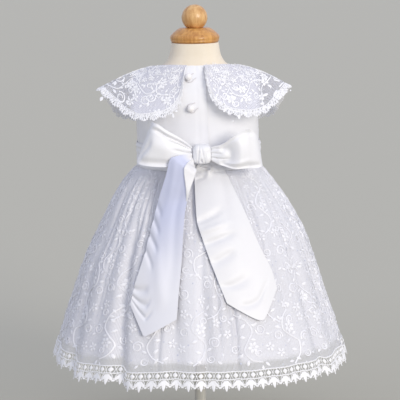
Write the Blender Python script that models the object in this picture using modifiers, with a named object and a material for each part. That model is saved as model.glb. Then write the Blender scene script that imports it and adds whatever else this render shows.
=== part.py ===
"""Baby tulle dress standing on a limbless dress form, in metres with +Z up.

The origin lies on the floor under the pole. The back of the dress, with its
buttons and bow, faces -Y, and left and right are as seen from there, so +X is
on the right. Angles run anticlockwise from +X seen from above: the centre back
is at 270 degrees and the centre front at 90. Heights of the form and of the
dress are measured from a level that lies FORM_LIFT above the floor.
"""

import math

import bmesh
import bpy
import numpy as np

# Cloth walls and clearances
SATIN_WALL = 0.0010
TULLE_WALL = 0.0010
SEAM_GAP = 0.0006
HEM_SEAM_GAP = 0.0008
COLLAR_SEAM_GAP = 0.0011
LAYER_GAP = 0.0004

# How far the level that heights are measured from lies above the floor
FORM_LIFT = 0.0440

# Heights of the dress
NECK_SIDE_HEIGHT = 0.4845
NECK_BACK_RISE = 0.0060
NECK_FRONT_DROP = 0.0085
WAIST_HEIGHT = 0.3580
SASH_BOTTOM = 0.3515
SASH_TOP = 0.3850
LACE_TOP_HEIGHT = 0.1046
LACE_DEPTH = 0.0245
LINING_HEM_HEIGHT = 0.1120

# Offsets from the form's surface; the placket's rise starts and ends at angles before the underlap's edge
BODICE_OFFSET = 0.0024
PLACKET_LIFT = SATIN_WALL + LAYER_GAP
SASH_OFFSET = BODICE_OFFSET + PLACKET_LIFT + LAYER_GAP + SATIN_WALL
PLACKET_RAMP_START = 0.45
PLACKET_RAMP_END = 0.18
PLACKET_EDGE_X = 0.0115
UNDERLAP_EDGE_X = -0.0030

# Half width and half depth of the chest, where the bodice's edges and the buttons are set out
CHEST_HALF_WIDTH = 0.0822
CHEST_HALF_DEPTH = 0.0634

# Bodice grid: columns in half a turn, and the share of its height that each row has reached
BODICE_COLUMNS = 18
BODICE_RISE = (0, 0.25, 0.50, 0.545, 0.60, 0.68, 0.765, 0.825, 0.875, 0.92, 0.96, 1.0)

# Armholes, measured on the form's side
ARMHOLE_BOTTOM = 0.4230
ARMHOLE_TOP = 0.4690
ARMHOLE_SWING = math.radians(21)

# Stand
BASE_RADIUS = 0.1100
BASE_HEIGHT = 0.0200
BASE_ROUND = 0.0040
POLE_RADIUS = 0.0080
BASE_STEPS = 36
POLE_STEPS = 24
SEAT_GAP = 0.0003
FORM_BOTTOM = 0.1650
FORM_TOP = 0.5207
CAP_BOTTOM = FORM_TOP + SEAT_GAP
CAP_TOP = CAP_BOTTOM + 0.0195
CAP_RADIUS = 0.0340
CAP_OUTLINE = ((0.60, 1.0), (0.73, 0.93), (0.88, 0.76), (0.97, 0.58), (1.0, 0.38), (0.985, 0.13), (0.92, 0.0))
BALL_RADIUS = 0.0178
BALL_CENTRE_HEIGHT = 0.5547
CAP_STEPS = 28
BALL_STEPS = 20
BALL_ARC_POINTS = 9

# Buttons: sideways place and height of each pearl's seat
BUTTON_RADIUS = 0.0048
BUTTON_SEGMENTS = 14
BUTTON_RINGS = 8
BUTTONS = {"button_upper": (-0.0082, 0.4735), "button_lower": (-0.0060, 0.4360)}

# Form: height, half width, half depth, sideways place of its centre
FORM_ROWS = (
    (FORM_BOTTOM, 0.0520, 0.0380, 0.0000),
    (0.1690, 0.0660, 0.0500, 0.0000),
    (0.1800, 0.0760, 0.0590, 0.0010),
    (0.2100, 0.0810, 0.0640, 0.0020),
    (0.2600, 0.0830, 0.0660, 0.0030),
    (0.3100, 0.0824, 0.0648, 0.0030),
    (0.3580, 0.0816, 0.0634, 0.0030),
    (0.4000, CHEST_HALF_WIDTH, CHEST_HALF_DEPTH, 0.0020),
    (0.4300, 0.0822, 0.0622, 0.0010),
    (0.4480, 0.0814, 0.0598, 0.0000),
    (0.4610, 0.0796, 0.0560, 0.0000),
    (0.4705, 0.0755, 0.0515, 0.0000),
    (0.4770, 0.0685, 0.0472, 0.0000),
    (0.4825, 0.0590, 0.0434, 0.0000),
    (0.4875, 0.0485, 0.0402, 0.0000),
    (0.4940, 0.0405, 0.0368, 0.0000),
    (0.5050, 0.0350, 0.0337, 0.0000),
    (FORM_TOP, 0.0325, 0.0325, 0.0000),
)
FORM_SQUARENESS = 2.3
FORM_COLUMNS = 32
FORM_HEIGHTS = (
    FORM_BOTTOM, 0.1690, 0.1780, 0.2050, 0.2600, 0.3400, 0.4350, 0.4550,
    0.4640, 0.4710, 0.4765, 0.4810, 0.4855, 0.4910, 0.5000, FORM_TOP,
)

# Skirt's outer surface: height, half width, half depth, sideways place of its centre
SKIRT_ROWS = (
    (0.3577, 0.0851, 0.0669, 0.0030),
    (0.3510, 0.0851, 0.0669, 0.0030),
    (0.3480, 0.0885, 0.0702, 0.0022),
    (0.3420, 0.0945, 0.0756, 0.0014),
    (0.3350, 0.1010, 0.0820, 0.0010),
    (0.3270, 0.1071, 0.0880, 0.0010),
    (0.3043, 0.1220, 0.1035, 0.0020),
    (0.2815, 0.1342, 0.1175, 0.0032),
    (0.2587, 0.1456, 0.1295, 0.0034),
    (0.2357, 0.1556, 0.1405, 0.0022),
    (0.2127, 0.1645, 0.1505, 0.0012),
    (0.1896, 0.1722, 0.1596, 0.0008),
    (0.1665, 0.1800, 0.1680, 0.0006),
    (0.1432, 0.1882, 0.1762, 0.0006),
    (0.1199, 0.1958, 0.1842, 0.0008),
    (0.0966, 0.2036, 0.1922, 0.0010),
    (0.0780, 0.2096, 0.1985, 0.0010),
)
SKIRT_SQUARENESS_WAIST = 2.3
SKIRT_SQUARENESS_HEM = 2.15
SKIRT_ROUND_FROM = 0.3400
SKIRT_ROUND_TO = 0.2500

# Lining: how far its outer face lies inside the tulle's, by height
LINING_INSET_ROWS = (
    (0.3577, 0.0015),
    (0.3510, 0.0018),
    (0.3350, 0.0050),
    (0.2800, 0.0070),
    (LINING_HEM_HEIGHT, 0.0085),
)

# How much lower the hem hangs on the right, for each metre sideways
HEM_TILT = 0.0140

# Waist gathers
GATHER_COUNT = 28
GATHER_DEPTH = 0.0017
GATHER_START = 0.3500
GATHER_FULL = 0.3300
GATHER_END = 0.2500

# Each fold deepens over this height, and at the waist it has these shares of its depth and width
FOLD_RUN = 0.1300
FOLD_WAIST_DEPTH = 0.60
FOLD_WAIST_WIDTH = 0.55

# Skirt folds: angle at waist, angle at hem, width at hem in degrees, depth at hem, height where it starts
SKIRT_FOLDS = (
    (206.0, 211.0, 3.6, 0.0075, 0.300),
    (222.0, 224.5, 5.0, 0.0030, 0.330),
    (229.0, 239.5, 3.4, 0.0095, 0.345),
    (243.0, 249.0, 4.5, 0.0030, 0.320),
    (256.0, 260.0, 4.2, 0.0050, 0.260),
    (271.0, 272.5, 3.0, 0.0042, 0.290),
    (285.0, 283.5, 4.5, 0.0030, 0.260),
    (300.0, 296.0, 4.8, 0.0034, 0.310),
    (313.0, 309.0, 4.0, 0.0040, 0.330),
    (324.0, 323.0, 3.6, 0.0062, 0.320),
    (338.0, 337.0, 5.0, 0.0035, 0.300),
    (351.0, 352.0, 4.2, 0.0050, 0.280),
    (8.0, 6.0, 4.8, 0.0036, 0.310),
    (21.0, 20.0, 3.6, 0.0070, 0.320),
    (38.0, 36.0, 5.0, 0.0034, 0.290),
    (52.0, 51.0, 3.6, 0.0085, 0.335),
    (67.0, 66.0, 4.6, 0.0034, 0.270),
    (82.0, 80.0, 4.0, 0.0052, 0.300),
    (97.0, 99.0, 4.6, 0.0036, 0.280),
    (111.0, 113.0, 3.6, 0.0080, 0.330),
    (127.0, 128.0, 5.0, 0.0034, 0.300),
    (141.0, 143.0, 3.8, 0.0066, 0.320),
    (157.0, 158.0, 4.8, 0.0034, 0.290),
    (171.0, 173.0, 4.0, 0.0056, 0.310),
    (190.0, 192.0, 4.6, 0.0038, 0.290),
)
SKIRT_COLUMNS = 56
SKIRT_HEIGHTS = (0.3577, 0.3510, 0.3400, 0.3220, 0.2900, 0.2400, 0.1750, LACE_TOP_HEIGHT + HEM_SEAM_GAP)
LINING_COLUMNS = 28
LINING_HEIGHTS = (0.3577, 0.3510, 0.3380, 0.3000, 0.2400, 0.1750, LINING_HEM_HEIGHT)

# Hem lace, one repeat wide 1: a band, then a three-pointed leaf joined to its neighbours
LACE_REPEATS = 39
LACE_BAND = 0.0105
LACE_JOIN_TOP = 0.0152
LACE_JOIN_POINT = 0.0205
LACE_NOTCH = 0.0190
LACE_LEAF_LEFT = 0.25
LACE_LEAF_RIGHT = 0.75

# Collar, right half: neckline angle, outer edge x, y, z, lift of its middle, and how much farther
# the left half reaches out and how much lower it hangs
COLLAR_ROWS = (
    (-76.0, 0.0118, -0.0520, 0.4865, 0.000, 0.0020, 0.0000),
    (-73.0, 0.0128, -0.0620, 0.4760, 0.000, 0.0022, 0.0030),
    (-70.0, 0.0160, -0.0705, 0.4620, 0.000, 0.0010, 0.0040),
    (-65.0, 0.0225, -0.0785, 0.4480, 0.000, 0.0000, 0.0045),
    (-57.0, 0.0320, -0.0830, 0.4370, 0.000, 0.0000, 0.0050),
    (-47.0, 0.0480, -0.0845, 0.4280, 0.001, 0.0000, 0.0030),
    (-35.0, 0.0705, -0.0825, 0.4255, 0.003, 0.0010, 0.0030),
    (-23.0, 0.0930, -0.0705, 0.4290, 0.006, 0.0020, 0.0000),
    (-12.0, 0.1130, -0.0460, 0.4420, 0.009, 0.0040, -0.0030),
    (-4.0, 0.1290, -0.0200, 0.4570, 0.011, 0.0050, 0.0000),
    (4.0, 0.1325, 0.0070, 0.4560, 0.011, 0.0030, 0.0000),
    (14.0, 0.1225, 0.0310, 0.4340, 0.010, 0.0010, 0.0000),
    (25.0, 0.1125, 0.0500, 0.4145, 0.006, 0.0010, 0.0000),
    (37.0, 0.0990, 0.0720, 0.4050, 0.003, 0.0000, 0.0000),
    (49.0, 0.0740, 0.0860, 0.4010, 0.001, 0.0000, 0.0000),
    (60.0, 0.0480, 0.0920, 0.4015, 0.000, 0.0000, 0.0000),
    (68.0, 0.0270, 0.0920, 0.4080, 0.000, 0.0000, 0.0000),
    (74.0, 0.0130, 0.0860, 0.4240, 0.000, 0.0000, 0.0000),
    (79.0, 0.0065, 0.0780, 0.4430, 0.000, 0.0000, 0.0000),
    (83.0, 0.0035, 0.0700, 0.4590, 0.000, 0.0000, 0.0000),
    (86.0, 0.0022, 0.0620, 0.4710, 0.000, 0.0000, 0.0000),
)
COLLAR_REST = 0.0019
COLLAR_OFFSET = BODICE_OFFSET + COLLAR_REST + TULLE_WALL
COLLAR_HANDLE = 0.45
COLLAR_COLUMNS = 32
COLLAR_STEPS = 5
COLLAR_WAVES = 5
COLLAR_WAVE_DEPTH = 0.0016
COLLAR_LACE_WIDTH = 0.0090
COLLAR_PICOTS = 32
COLLAR_PICOT_DEPTH = 0.0035

# Sash grid
SASH_ROWS = 3
SASH_COLUMNS = 44

# Bow loops from the knot round the tip and back: lower x, upper x, y, lower z, upper z
LOOP_LEFT_ROWS = (
    (-0.0058, -0.0058, -0.0890, 0.3710, 0.3875),
    (-0.0230, -0.0200, -0.0960, 0.3650, 0.4000),
    (-0.0450, -0.0390, -0.1005, 0.3625, 0.4120),
    (-0.0660, -0.0520, -0.0990, 0.3640, 0.4210),
    (-0.0780, -0.0580, -0.0915, 0.3665, 0.4225),
    (-0.0808, -0.0592, -0.0820, 0.3690, 0.4220),
    (-0.0770, -0.0560, -0.0740, 0.3680, 0.4190),
    (-0.0600, -0.0450, -0.0720, 0.3650, 0.4100),
    (-0.0350, -0.0300, -0.0745, 0.3650, 0.4000),
    (-0.0058, -0.0058, -0.0800, 0.3720, 0.3865),
)
LOOP_RIGHT_ROWS = (
    (0.0202, 0.0202, -0.0890, 0.3700, 0.3870),
    (0.0340, 0.0340, -0.0960, 0.3630, 0.3920),
    (0.0530, 0.0520, -0.1005, 0.3585, 0.4040),
    (0.0720, 0.0700, -0.0990, 0.3585, 0.4120),
    (0.0845, 0.0800, -0.0910, 0.3590, 0.4030),
    (0.0885, 0.0835, -0.0810, 0.3600, 0.3950),
    (0.0850, 0.0800, -0.0730, 0.3600, 0.3960),
    (0.0680, 0.0660, -0.0700, 0.3600, 0.3990),
    (0.0420, 0.0420, -0.0735, 0.3620, 0.3920),
    (0.0202, 0.0202, -0.0800, 0.3710, 0.3860),
)
LOOP_STEPS = 26
LOOP_STRIPS = 3
LOOP_DISH = 0.0030

# Knot, and how far its edges are rounded off
KNOT_CENTRE = (0.0072, -0.0846, 0.3778)
KNOT_HALF = (0.0126, 0.0140, 0.0130)
KNOT_ROUND = 0.0055
KNOT_SEGMENTS = 3

# Tails from the knot down: left x, left z, right x, right z, stand-off from the skirt, hang of the point, least depth.
# The left one comes out over the lower corner of its loop and hangs straight down until it meets the skirt.
TAIL_LEFT_ROWS = (
    (-0.0060, 0.3800, -0.0058, 0.3670, 0.0031, 0.0000, 0.0915),
    (-0.0330, 0.3765, -0.0030, 0.3540, 0.0034, 0.0000, 0.1042),
    (-0.0425, 0.3485, -0.0095, 0.3340, 0.0050, 0.0005, 0.1040),
    (-0.0596, 0.2953, -0.0165, 0.2950, 0.0060, 0.0010, 0.1000),
    (-0.0727, 0.2477, -0.0215, 0.2477, 0.0055, 0.0060, 0.1000),
    (-0.0880, 0.2054, -0.0265, 0.2054, 0.0050, 0.0230, 0.1000),
    (-0.0925, 0.1870, -0.0299, 0.1716, 0.0050, 0.0353, 0.1000),
)
TAIL_RIGHT_ROWS = (
    (0.0065, 0.3700, 0.0190, 0.3690, 0.0031, 0.0000, 0.0),
    (0.0005, 0.3600, 0.0332, 0.3590, 0.0034, 0.0000, 0.0),
    (-0.0034, 0.3435, 0.0430, 0.3420, 0.0050, 0.0005, 0.0),
    (-0.0015, 0.2974, 0.0650, 0.2974, 0.0060, 0.0010, 0.0),
    (0.0086, 0.2630, 0.0800, 0.2630, 0.0055, 0.0060, 0.0),
    (0.0254, 0.2191, 0.0990, 0.2250, 0.0050, 0.0250, 0.0),
    (0.0372, 0.1903, 0.1058, 0.2032, 0.0050, 0.0405, 0.0),
)
TAIL_DEPTH_BLEND = 0.0040
TAIL_LEFT_POINT = 0.30
TAIL_RIGHT_POINT = 0.70
TAIL_STEPS = 14
TAIL_STRIPS = 5

# How far the tails rise over the sash's lower edge, and half the height over which they do
TAIL_WAIST_LIFT = 0.0004
TAIL_WAIST_BLEND = 0.0040

# Colours (linear) and finishes: colour, roughness, metallic
FINISHES = {
    "satin": ((0.86, 0.86, 0.88, 1.0), 0.35, 0.0),
    "tulle": ((0.84, 0.85, 0.90, 1.0), 0.70, 0.0),
    "lace": ((0.90, 0.90, 0.92, 1.0), 0.75, 0.0),
    "form_cloth": ((0.78, 0.72, 0.60, 1.0), 0.85, 0.0),
    "wood": ((0.62, 0.36, 0.16, 1.0), 0.45, 0.0),
    "pearl": ((0.88, 0.87, 0.85, 1.0), 0.20, 0.0),
}


def clear_scene():
    """Removes every object that the opening scene holds."""
    for item in list(bpy.data.objects):
        bpy.data.objects.remove(item, do_unlink=True)


def make_collection(name):
    """A collection of that name, linked to the scene."""
    collection = bpy.data.collections.new(name)
    bpy.context.scene.collection.children.link(collection)
    return collection


def make_material(name, finish):
    """A Principled material with one of the named finishes."""
    colour, roughness, metallic = FINISHES[finish]
    material = bpy.data.materials.new(name)
    material.use_nodes = True
    shader = material.node_tree.nodes["Principled BSDF"]
    shader.inputs["Base Color"].default_value = colour
    shader.inputs["Roughness"].default_value = roughness
    shader.inputs["Metallic"].default_value = metallic
    return material


def add_object(name, mesh, finish, collection, sharp_angle=40):
    """An object round a mesh, shaded smooth but for its sharp edges, with its own material."""
    mesh.shade_smooth()
    mesh.set_sharp_from_angle(angle=math.radians(sharp_angle))
    mesh.materials.append(make_material(name + "_" + finish, finish))
    item = bpy.data.objects.new(name, mesh)
    collection.objects.link(item)
    return item


def mesh_from_points(name, points, faces):
    """A mesh from an array of points and lists of point numbers."""
    mesh = bpy.data.meshes.new(name)
    mesh.from_pydata([tuple(point) for point in points], [], faces)
    mesh.validate()
    return mesh


def table_columns(rows, at):
    """Every other column of a table, read smoothly at values of its first one.

    The curve is a cubic between rows whose slopes are limited so that it never
    swings past the rows on either side.
    """
    table = np.array(sorted(rows))
    knots = table[:, 0]
    at = np.clip(np.asarray(at, dtype=float), knots[0], knots[-1])
    index = np.clip(np.searchsorted(knots, at, side="right") - 1, 0, len(knots) - 2)
    width = np.diff(knots)
    share = (at - knots[index]) / width[index]
    columns = []
    for values in table.T[1:]:
        steps = np.diff(values) / width
        slopes = np.empty(len(knots))
        slopes[0] = steps[0]
        slopes[-1] = steps[-1]
        same_way = steps[:-1] * steps[1:] > 0
        total = np.where(same_way, steps[:-1] + steps[1:], 1.0)
        slopes[1:-1] = np.where(same_way, 2 * steps[:-1] * steps[1:] / total, 0.0)
        low, high = values[index], values[index + 1]
        low_slope = slopes[index] * width[index]
        high_slope = slopes[index + 1] * width[index]
        cubic = (
            low * (1 + 2 * share) * (1 - share) ** 2
            + low_slope * share * (1 - share) ** 2
            + high * share**2 * (3 - 2 * share)
            + high_slope * share**2 * (share - 1)
        )
        columns.append(cubic)
    return columns


def path_columns(rows, at):
    """Every column of a table whose rows are evenly spaced steps of a path, at 0 to 1 along it."""
    numbered = [(place / (len(rows) - 1), *row) for place, row in enumerate(rows)]
    return table_columns(numbered, at)


def smooth_step(value, start, end):
    """0 before start, 1 after end and a soft rise between them."""
    share = np.clip((value - start) / (end - start), 0, 1)
    return share * share * (3 - 2 * share)


def oval(angle, half_width, half_depth, squareness):
    """Points x, y of a superellipse: a power of 2 is an ellipse, and a higher one is squarer."""
    cosine, sine = np.cos(angle), np.sin(angle)
    reach = (np.abs(cosine) ** squareness + np.abs(sine) ** squareness) ** (-1 / squareness)
    return half_width * reach * cosine, half_depth * reach * sine


def form_point(angle, height):
    """A point of the form's own surface."""
    angle, height = np.broadcast_arrays(angle, height)
    half_width, half_depth, centre_x = table_columns(FORM_ROWS, height)
    x, y = oval(angle, half_width, half_depth, FORM_SQUARENESS)
    return np.stack([x + centre_x, y, height], axis=-1)


def form_normal(angle, height):
    """The outward direction of the form's surface, from its slopes along both parameters."""
    step = 1e-4
    around = form_point(angle + step, height) - form_point(angle - step, height)
    upward = form_point(angle, height + step) - form_point(angle, height - step)
    normal = np.cross(around, upward)
    return normal / np.linalg.norm(normal, axis=-1, keepdims=True)


def over_form(angle, height, offset):
    """A point lifted off the form's surface by an offset, on a straight line out of it."""
    offset = np.asarray(offset, dtype=float)
    return form_point(angle, height) + form_normal(angle, height) * offset[..., None]


def skirt_fall(height):
    """0 at the waist and 1 at the tulle's hem."""
    return np.clip((WAIST_HEIGHT - height) / (WAIST_HEIGHT - LACE_TOP_HEIGHT), 0, 1.1)


def fold_depth(angle, height):
    """How far the skirt's folds and waist gathers draw it inwards at an angle and a height."""
    depth = np.zeros(np.broadcast(angle, height).shape)
    degrees = np.degrees(angle) % 360
    fall = skirt_fall(height)
    for waist, hem, width, deepest, start in SKIRT_FOLDS:
        middle = waist + (hem - waist) * fall
        away = (degrees - middle + 180) % 360 - 180
        spread = width * (FOLD_WAIST_WIDTH + (1 - FOLD_WAIST_WIDTH) * fall)
        ramp = smooth_step(-height, -start, FOLD_RUN - start)
        ramp = ramp * (FOLD_WAIST_DEPTH + (1 - FOLD_WAIST_DEPTH) * fall)
        depth = depth + deepest * ramp * np.exp(-((away / spread) ** 2))
    rise = smooth_step(-height, -GATHER_START, -GATHER_FULL)
    fade = 1 - smooth_step(-height, -GATHER_FULL, -GATHER_END)
    gathers = 0.5 - 0.5 * np.cos(GATHER_COUNT * angle)
    return depth + GATHER_DEPTH * rise * fade * gathers


def skirt_oval(height):
    """Half width, half depth, sideways centre and squareness of the skirt's outline at a height."""
    half_width, half_depth, centre_x = table_columns(SKIRT_ROWS, height)
    roundness = smooth_step(-np.asarray(height), -SKIRT_ROUND_FROM, -SKIRT_ROUND_TO)
    squareness = SKIRT_SQUARENESS_WAIST + roundness * (SKIRT_SQUARENESS_HEM - SKIRT_SQUARENESS_WAIST)
    return half_width, half_depth, centre_x, squareness


def skirt_point(angle, height, inset=0.0):
    """A point of the skirt's outer face, or of a face that lies an inset inside it."""
    angle, height = np.broadcast_arrays(angle, height)
    half_width, half_depth, centre_x, squareness = skirt_oval(height)
    inward = fold_depth(angle, height) + inset
    x, y = oval(angle, half_width - inward, half_depth - inward, squareness)
    return np.stack([x + centre_x, y, height - HEM_TILT * x * skirt_fall(height) ** 2], axis=-1)


def grid_faces(rows, columns):
    """Four-cornered faces of a grid whose points run along its columns, row after row."""
    faces = []
    for row in range(rows - 1):
        for column in range(columns - 1):
            corner = row * columns + column
            faces.append((corner, corner + 1, corner + columns + 1, corner + columns))
    return faces


def ring_faces(rows, columns):
    """Four-cornered faces of rings of points, one over another, each closed on itself."""
    faces = []
    for row in range(rows - 1):
        for column in range(columns):
            here = row * columns + column
            there = row * columns + (column + 1) % columns
            faces.append((here, there, there + columns, here + columns))
    return faces


def cloth_wall(name, points, wall, finish, collection, faces=None):
    """A closed cloth wall: the points are its outer face, and the wall's thickness lies behind it.

    Seen from outside, a grid's columns run to the right and its rows upwards.
    """
    if faces is None:
        faces = grid_faces(points.shape[0], points.shape[1])
    mesh = mesh_from_points(name, points.reshape(-1, 3), faces)
    item = add_object(name, mesh, finish, collection, sharp_angle=60)
    thicken = item.modifiers.new("Wall", "SOLIDIFY")
    thicken.thickness = wall
    thicken.offset = -1
    thicken.use_even_offset = True
    thicken.use_quality_normals = True
    return item


def turned(name, profile, finish, collection, steps):
    """A solid turned round the vertical axis from a profile of radius and height, top to bottom."""
    mesh = bpy.data.meshes.new(name)
    edges = [(place, place + 1) for place in range(len(profile) - 1)]
    mesh.from_pydata([(radius, 0, height) for radius, height in profile], edges, [])
    item = add_object(name, mesh, finish, collection)
    screw = item.modifiers.new("Turn", "SCREW")
    screw.steps = steps
    screw.render_steps = steps
    screw.use_merge_vertices = True
    screw.merge_threshold = 0.00001
    screw.use_smooth_shade = True
    return item


def arc_profile(centre_radius, centre_height, radius, start, end, count):
    """Points of radius and height along an arc, with its angles in degrees above the horizontal."""
    angles = np.radians(np.linspace(start, end, count))
    return [(centre_radius + radius * math.cos(a), centre_height + radius * math.sin(a)) for a in angles]


def make_form(collection):
    """The padded child's form: ovals from its flat bottom to the top of its neck."""
    angles = np.linspace(0, 2 * math.pi, FORM_COLUMNS, endpoint=False)
    points = form_point(angles[None, :], np.array(FORM_HEIGHTS)[:, None]).reshape(-1, 3)
    faces = ring_faces(len(FORM_HEIGHTS), FORM_COLUMNS)
    faces.append(tuple(reversed(range(FORM_COLUMNS))))
    faces.append(tuple(range(len(points) - FORM_COLUMNS, len(points))))
    add_object("form_torso", mesh_from_points("form_torso", points, faces), "form_cloth", collection)


def make_stand(collection):
    """Round base on the floor and the pole that carries the form, at heights above the floor."""
    inner = BASE_RADIUS - BASE_ROUND
    base = [(0, BASE_HEIGHT)]
    base += arc_profile(inner, BASE_HEIGHT - BASE_ROUND, BASE_ROUND, 90, 0, 4)
    base += [(BASE_RADIUS, 0), (0, 0)]
    turned("stand_base", base, "wood", collection, BASE_STEPS)

    pole_top = FORM_LIFT + FORM_BOTTOM - SEAT_GAP
    pole_bottom = BASE_HEIGHT + SEAT_GAP
    pole = [(0, pole_top), (POLE_RADIUS, pole_top), (POLE_RADIUS, pole_bottom), (0, pole_bottom)]
    turned("stand_pole", pole, "wood", collection, POLE_STEPS)


def make_cap(collection):
    """Turned neck cap, with a ball finial that is cut flat where it stands on the cap."""
    cap = [(0, CAP_TOP)]
    cap += [(CAP_RADIUS * width, CAP_BOTTOM + (CAP_TOP - CAP_BOTTOM) * rise) for width, rise in CAP_OUTLINE]
    cap += [(0, CAP_BOTTOM)]
    turned("neck_cap", cap, "wood", collection, CAP_STEPS)

    ball_bottom = CAP_TOP + SEAT_GAP
    foot = -math.degrees(math.asin((BALL_CENTRE_HEIGHT - ball_bottom) / BALL_RADIUS))
    ball = arc_profile(0, BALL_CENTRE_HEIGHT, BALL_RADIUS, 90, foot, BALL_ARC_POINTS)
    ball[0] = (0, BALL_CENTRE_HEIGHT + BALL_RADIUS)
    ball += [(0, ball_bottom)]
    turned("finial_ball", ball, "wood", collection, BALL_STEPS)


def neckline_height(angle):
    """The neckline rises at the back and dips at the front."""
    back = NECK_BACK_RISE * smooth_step(-np.sin(angle), 0.0, 1.0)
    return NECK_SIDE_HEIGHT + back - NECK_FRONT_DROP * smooth_step(np.sin(angle), 0.0, 1.0)


def armhole_swing(height):
    """How far each armhole edge turns away from the side seam at a height."""
    share = np.clip((height - ARMHOLE_BOTTOM) / (ARMHOLE_TOP - ARMHOLE_BOTTOM), 0, 1)
    return ARMHOLE_SWING * np.sin(math.pi * share)


def bodice_panel(name, start, end, lift, swing_start, swing_end, collection):
    """A satin panel over the form between two angles, from the waist to the neckline.

    An edge at a side seam turns inwards round the armhole, and lift raises the
    points of an edge that laps over its neighbour.
    """
    columns = int(round(BODICE_COLUMNS * (end - start) / math.pi)) + 1
    rise = np.array(BODICE_RISE)
    share = np.linspace(0, 1, columns)[None, :]
    rough = WAIST_HEIGHT + (NECK_SIDE_HEIGHT - WAIST_HEIGHT) * rise[:, None]
    first = start + swing_start * armhole_swing(rough)
    last = end - swing_end * armhole_swing(rough)
    angle = first + (last - first) * share
    height = WAIST_HEIGHT + (neckline_height(angle) - WAIST_HEIGHT) * rise[:, None]
    points = over_form(angle, height, BODICE_OFFSET + lift(angle))
    return cloth_wall(name, points, SATIN_WALL, "satin", collection)


def make_bodice(collection):
    """One front between the side seams, and two backs that lap at the centre back."""
    seam = 0.5 * SEAM_GAP / CHEST_HALF_WIDTH
    back_depth = CHEST_HALF_DEPTH + BODICE_OFFSET
    centre_back = 1.5 * math.pi
    overlap_edge = centre_back + PLACKET_EDGE_X / back_depth
    underlap_edge = centre_back + UNDERLAP_EDGE_X / back_depth

    def flat(angle):
        return np.zeros_like(angle)

    def raised_overlap(angle):
        start = underlap_edge - PLACKET_RAMP_START
        return PLACKET_LIFT * smooth_step(angle, start, underlap_edge - PLACKET_RAMP_END)

    bodice_panel("bodice_front", seam, math.pi - seam, flat, 1, 1, collection)
    bodice_panel("bodice_back_left", math.pi + seam, overlap_edge, raised_overlap, 1, 0, collection)
    bodice_panel("bodice_back_right", underlap_edge, 2 * math.pi - seam, flat, 0, 1, collection)


def make_buttons(collection):
    """Pearl buttons resting on the lapped edge."""
    for name, (x, height) in BUTTONS.items():
        angle = 1.5 * math.pi + x / (CHEST_HALF_DEPTH + BODICE_OFFSET)
        centre_offset = BODICE_OFFSET + PLACKET_LIFT + LAYER_GAP + BUTTON_RADIUS
        mesh = bpy.data.meshes.new(name)
        shape = bmesh.new()
        bmesh.ops.create_uvsphere(
            shape, u_segments=BUTTON_SEGMENTS, v_segments=BUTTON_RINGS, radius=BUTTON_RADIUS
        )
        shape.to_mesh(mesh)
        shape.free()
        item = add_object(name, mesh, "pearl", collection, sharp_angle=80)
        item.location = over_form(angle, height, centre_offset)


def collar_point(along, reach, left):
    """A point of the collar: along runs from the centre back to the front, reach from neckline to edge.

    Each line out of the neckline is a quadratic curve that leaves along the
    shoulder's slope and ends on the outer edge. Waves grow towards the edge.
    """
    along, reach = np.broadcast_arrays(along, reach)
    degrees, edge_x, edge_y, edge_z, lift, left_reach, left_drop = path_columns(COLLAR_ROWS, along)
    angle = np.radians(degrees)
    height = neckline_height(angle)
    start = over_form(angle, height, np.full(along.shape, COLLAR_OFFSET))
    edge = np.stack([edge_x + left * left_reach, edge_y, edge_z - left * left_drop], axis=-1)
    downhill = form_point(angle, height - 0.004) - form_point(angle, height)
    downhill = downhill / np.linalg.norm(downhill, axis=-1, keepdims=True)
    length = np.linalg.norm(edge - start, axis=-1, keepdims=True)
    handle = start + downhill * length * COLLAR_HANDLE
    handle[..., 2] += lift
    t = reach[..., None]
    point = start * (1 - t) ** 2 + handle * 2 * t * (1 - t) + edge * t**2
    calm_ends = np.sin(math.pi * np.clip(along, 0, 1)) ** 0.5
    wave = COLLAR_WAVE_DEPTH * np.sin(2 * math.pi * COLLAR_WAVES * along) * reach**2 * calm_ends
    outward = np.stack([np.cos(angle), np.sin(angle), np.full(along.shape, 0.5)], axis=-1)
    point = point + outward * wave[..., None]
    if left:
        point[..., 0] *= -1
    return point, length[..., 0]


def collar_lace_line(along, back_from_edge, left):
    """Points of the collar's own surface at a distance back from its outer edge."""
    _, length = collar_point(along, np.ones_like(along), left)
    point, _ = collar_point(along, 1 - back_from_edge / length, left)
    return point


def make_collar(collection):
    """Two halves of embroidered tulle, each with a narrow picot lace round its free edge."""
    for side, left in (("left", True), ("right", False)):
        along = np.linspace(0, 1, COLLAR_COLUMNS + 1)
        _, length = collar_point(along, np.ones_like(along), left)
        panel_end = 1 - (COLLAR_LACE_WIDTH + COLLAR_SEAM_GAP) / length
        reach = np.linspace(0, 1, COLLAR_STEPS + 1)[:, None] * panel_end[None, :]
        points, _ = collar_point(along[None, :], reach, left)
        points = points[::-1]
        if left:
            points = points[:, ::-1]
        cloth_wall("collar_" + side, points, TULLE_WALL, "tulle", collection)

        steps = np.linspace(0, 1, 2 * COLLAR_PICOTS + 1)
        tips = np.where(np.arange(len(steps)) % 2 == 1, 0.0, COLLAR_PICOT_DEPTH)
        inner = collar_lace_line(steps, np.full(len(steps), COLLAR_LACE_WIDTH), left)
        inner[1::2] = 0.5 * (inner[:-1:2] + inner[2::2])
        outer = collar_lace_line(steps, tips, left)
        lace = np.stack([outer, inner])
        if left:
            lace = lace[:, ::-1]
        cloth_wall("collar_lace_" + side, lace, TULLE_WALL, "lace", collection)


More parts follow.
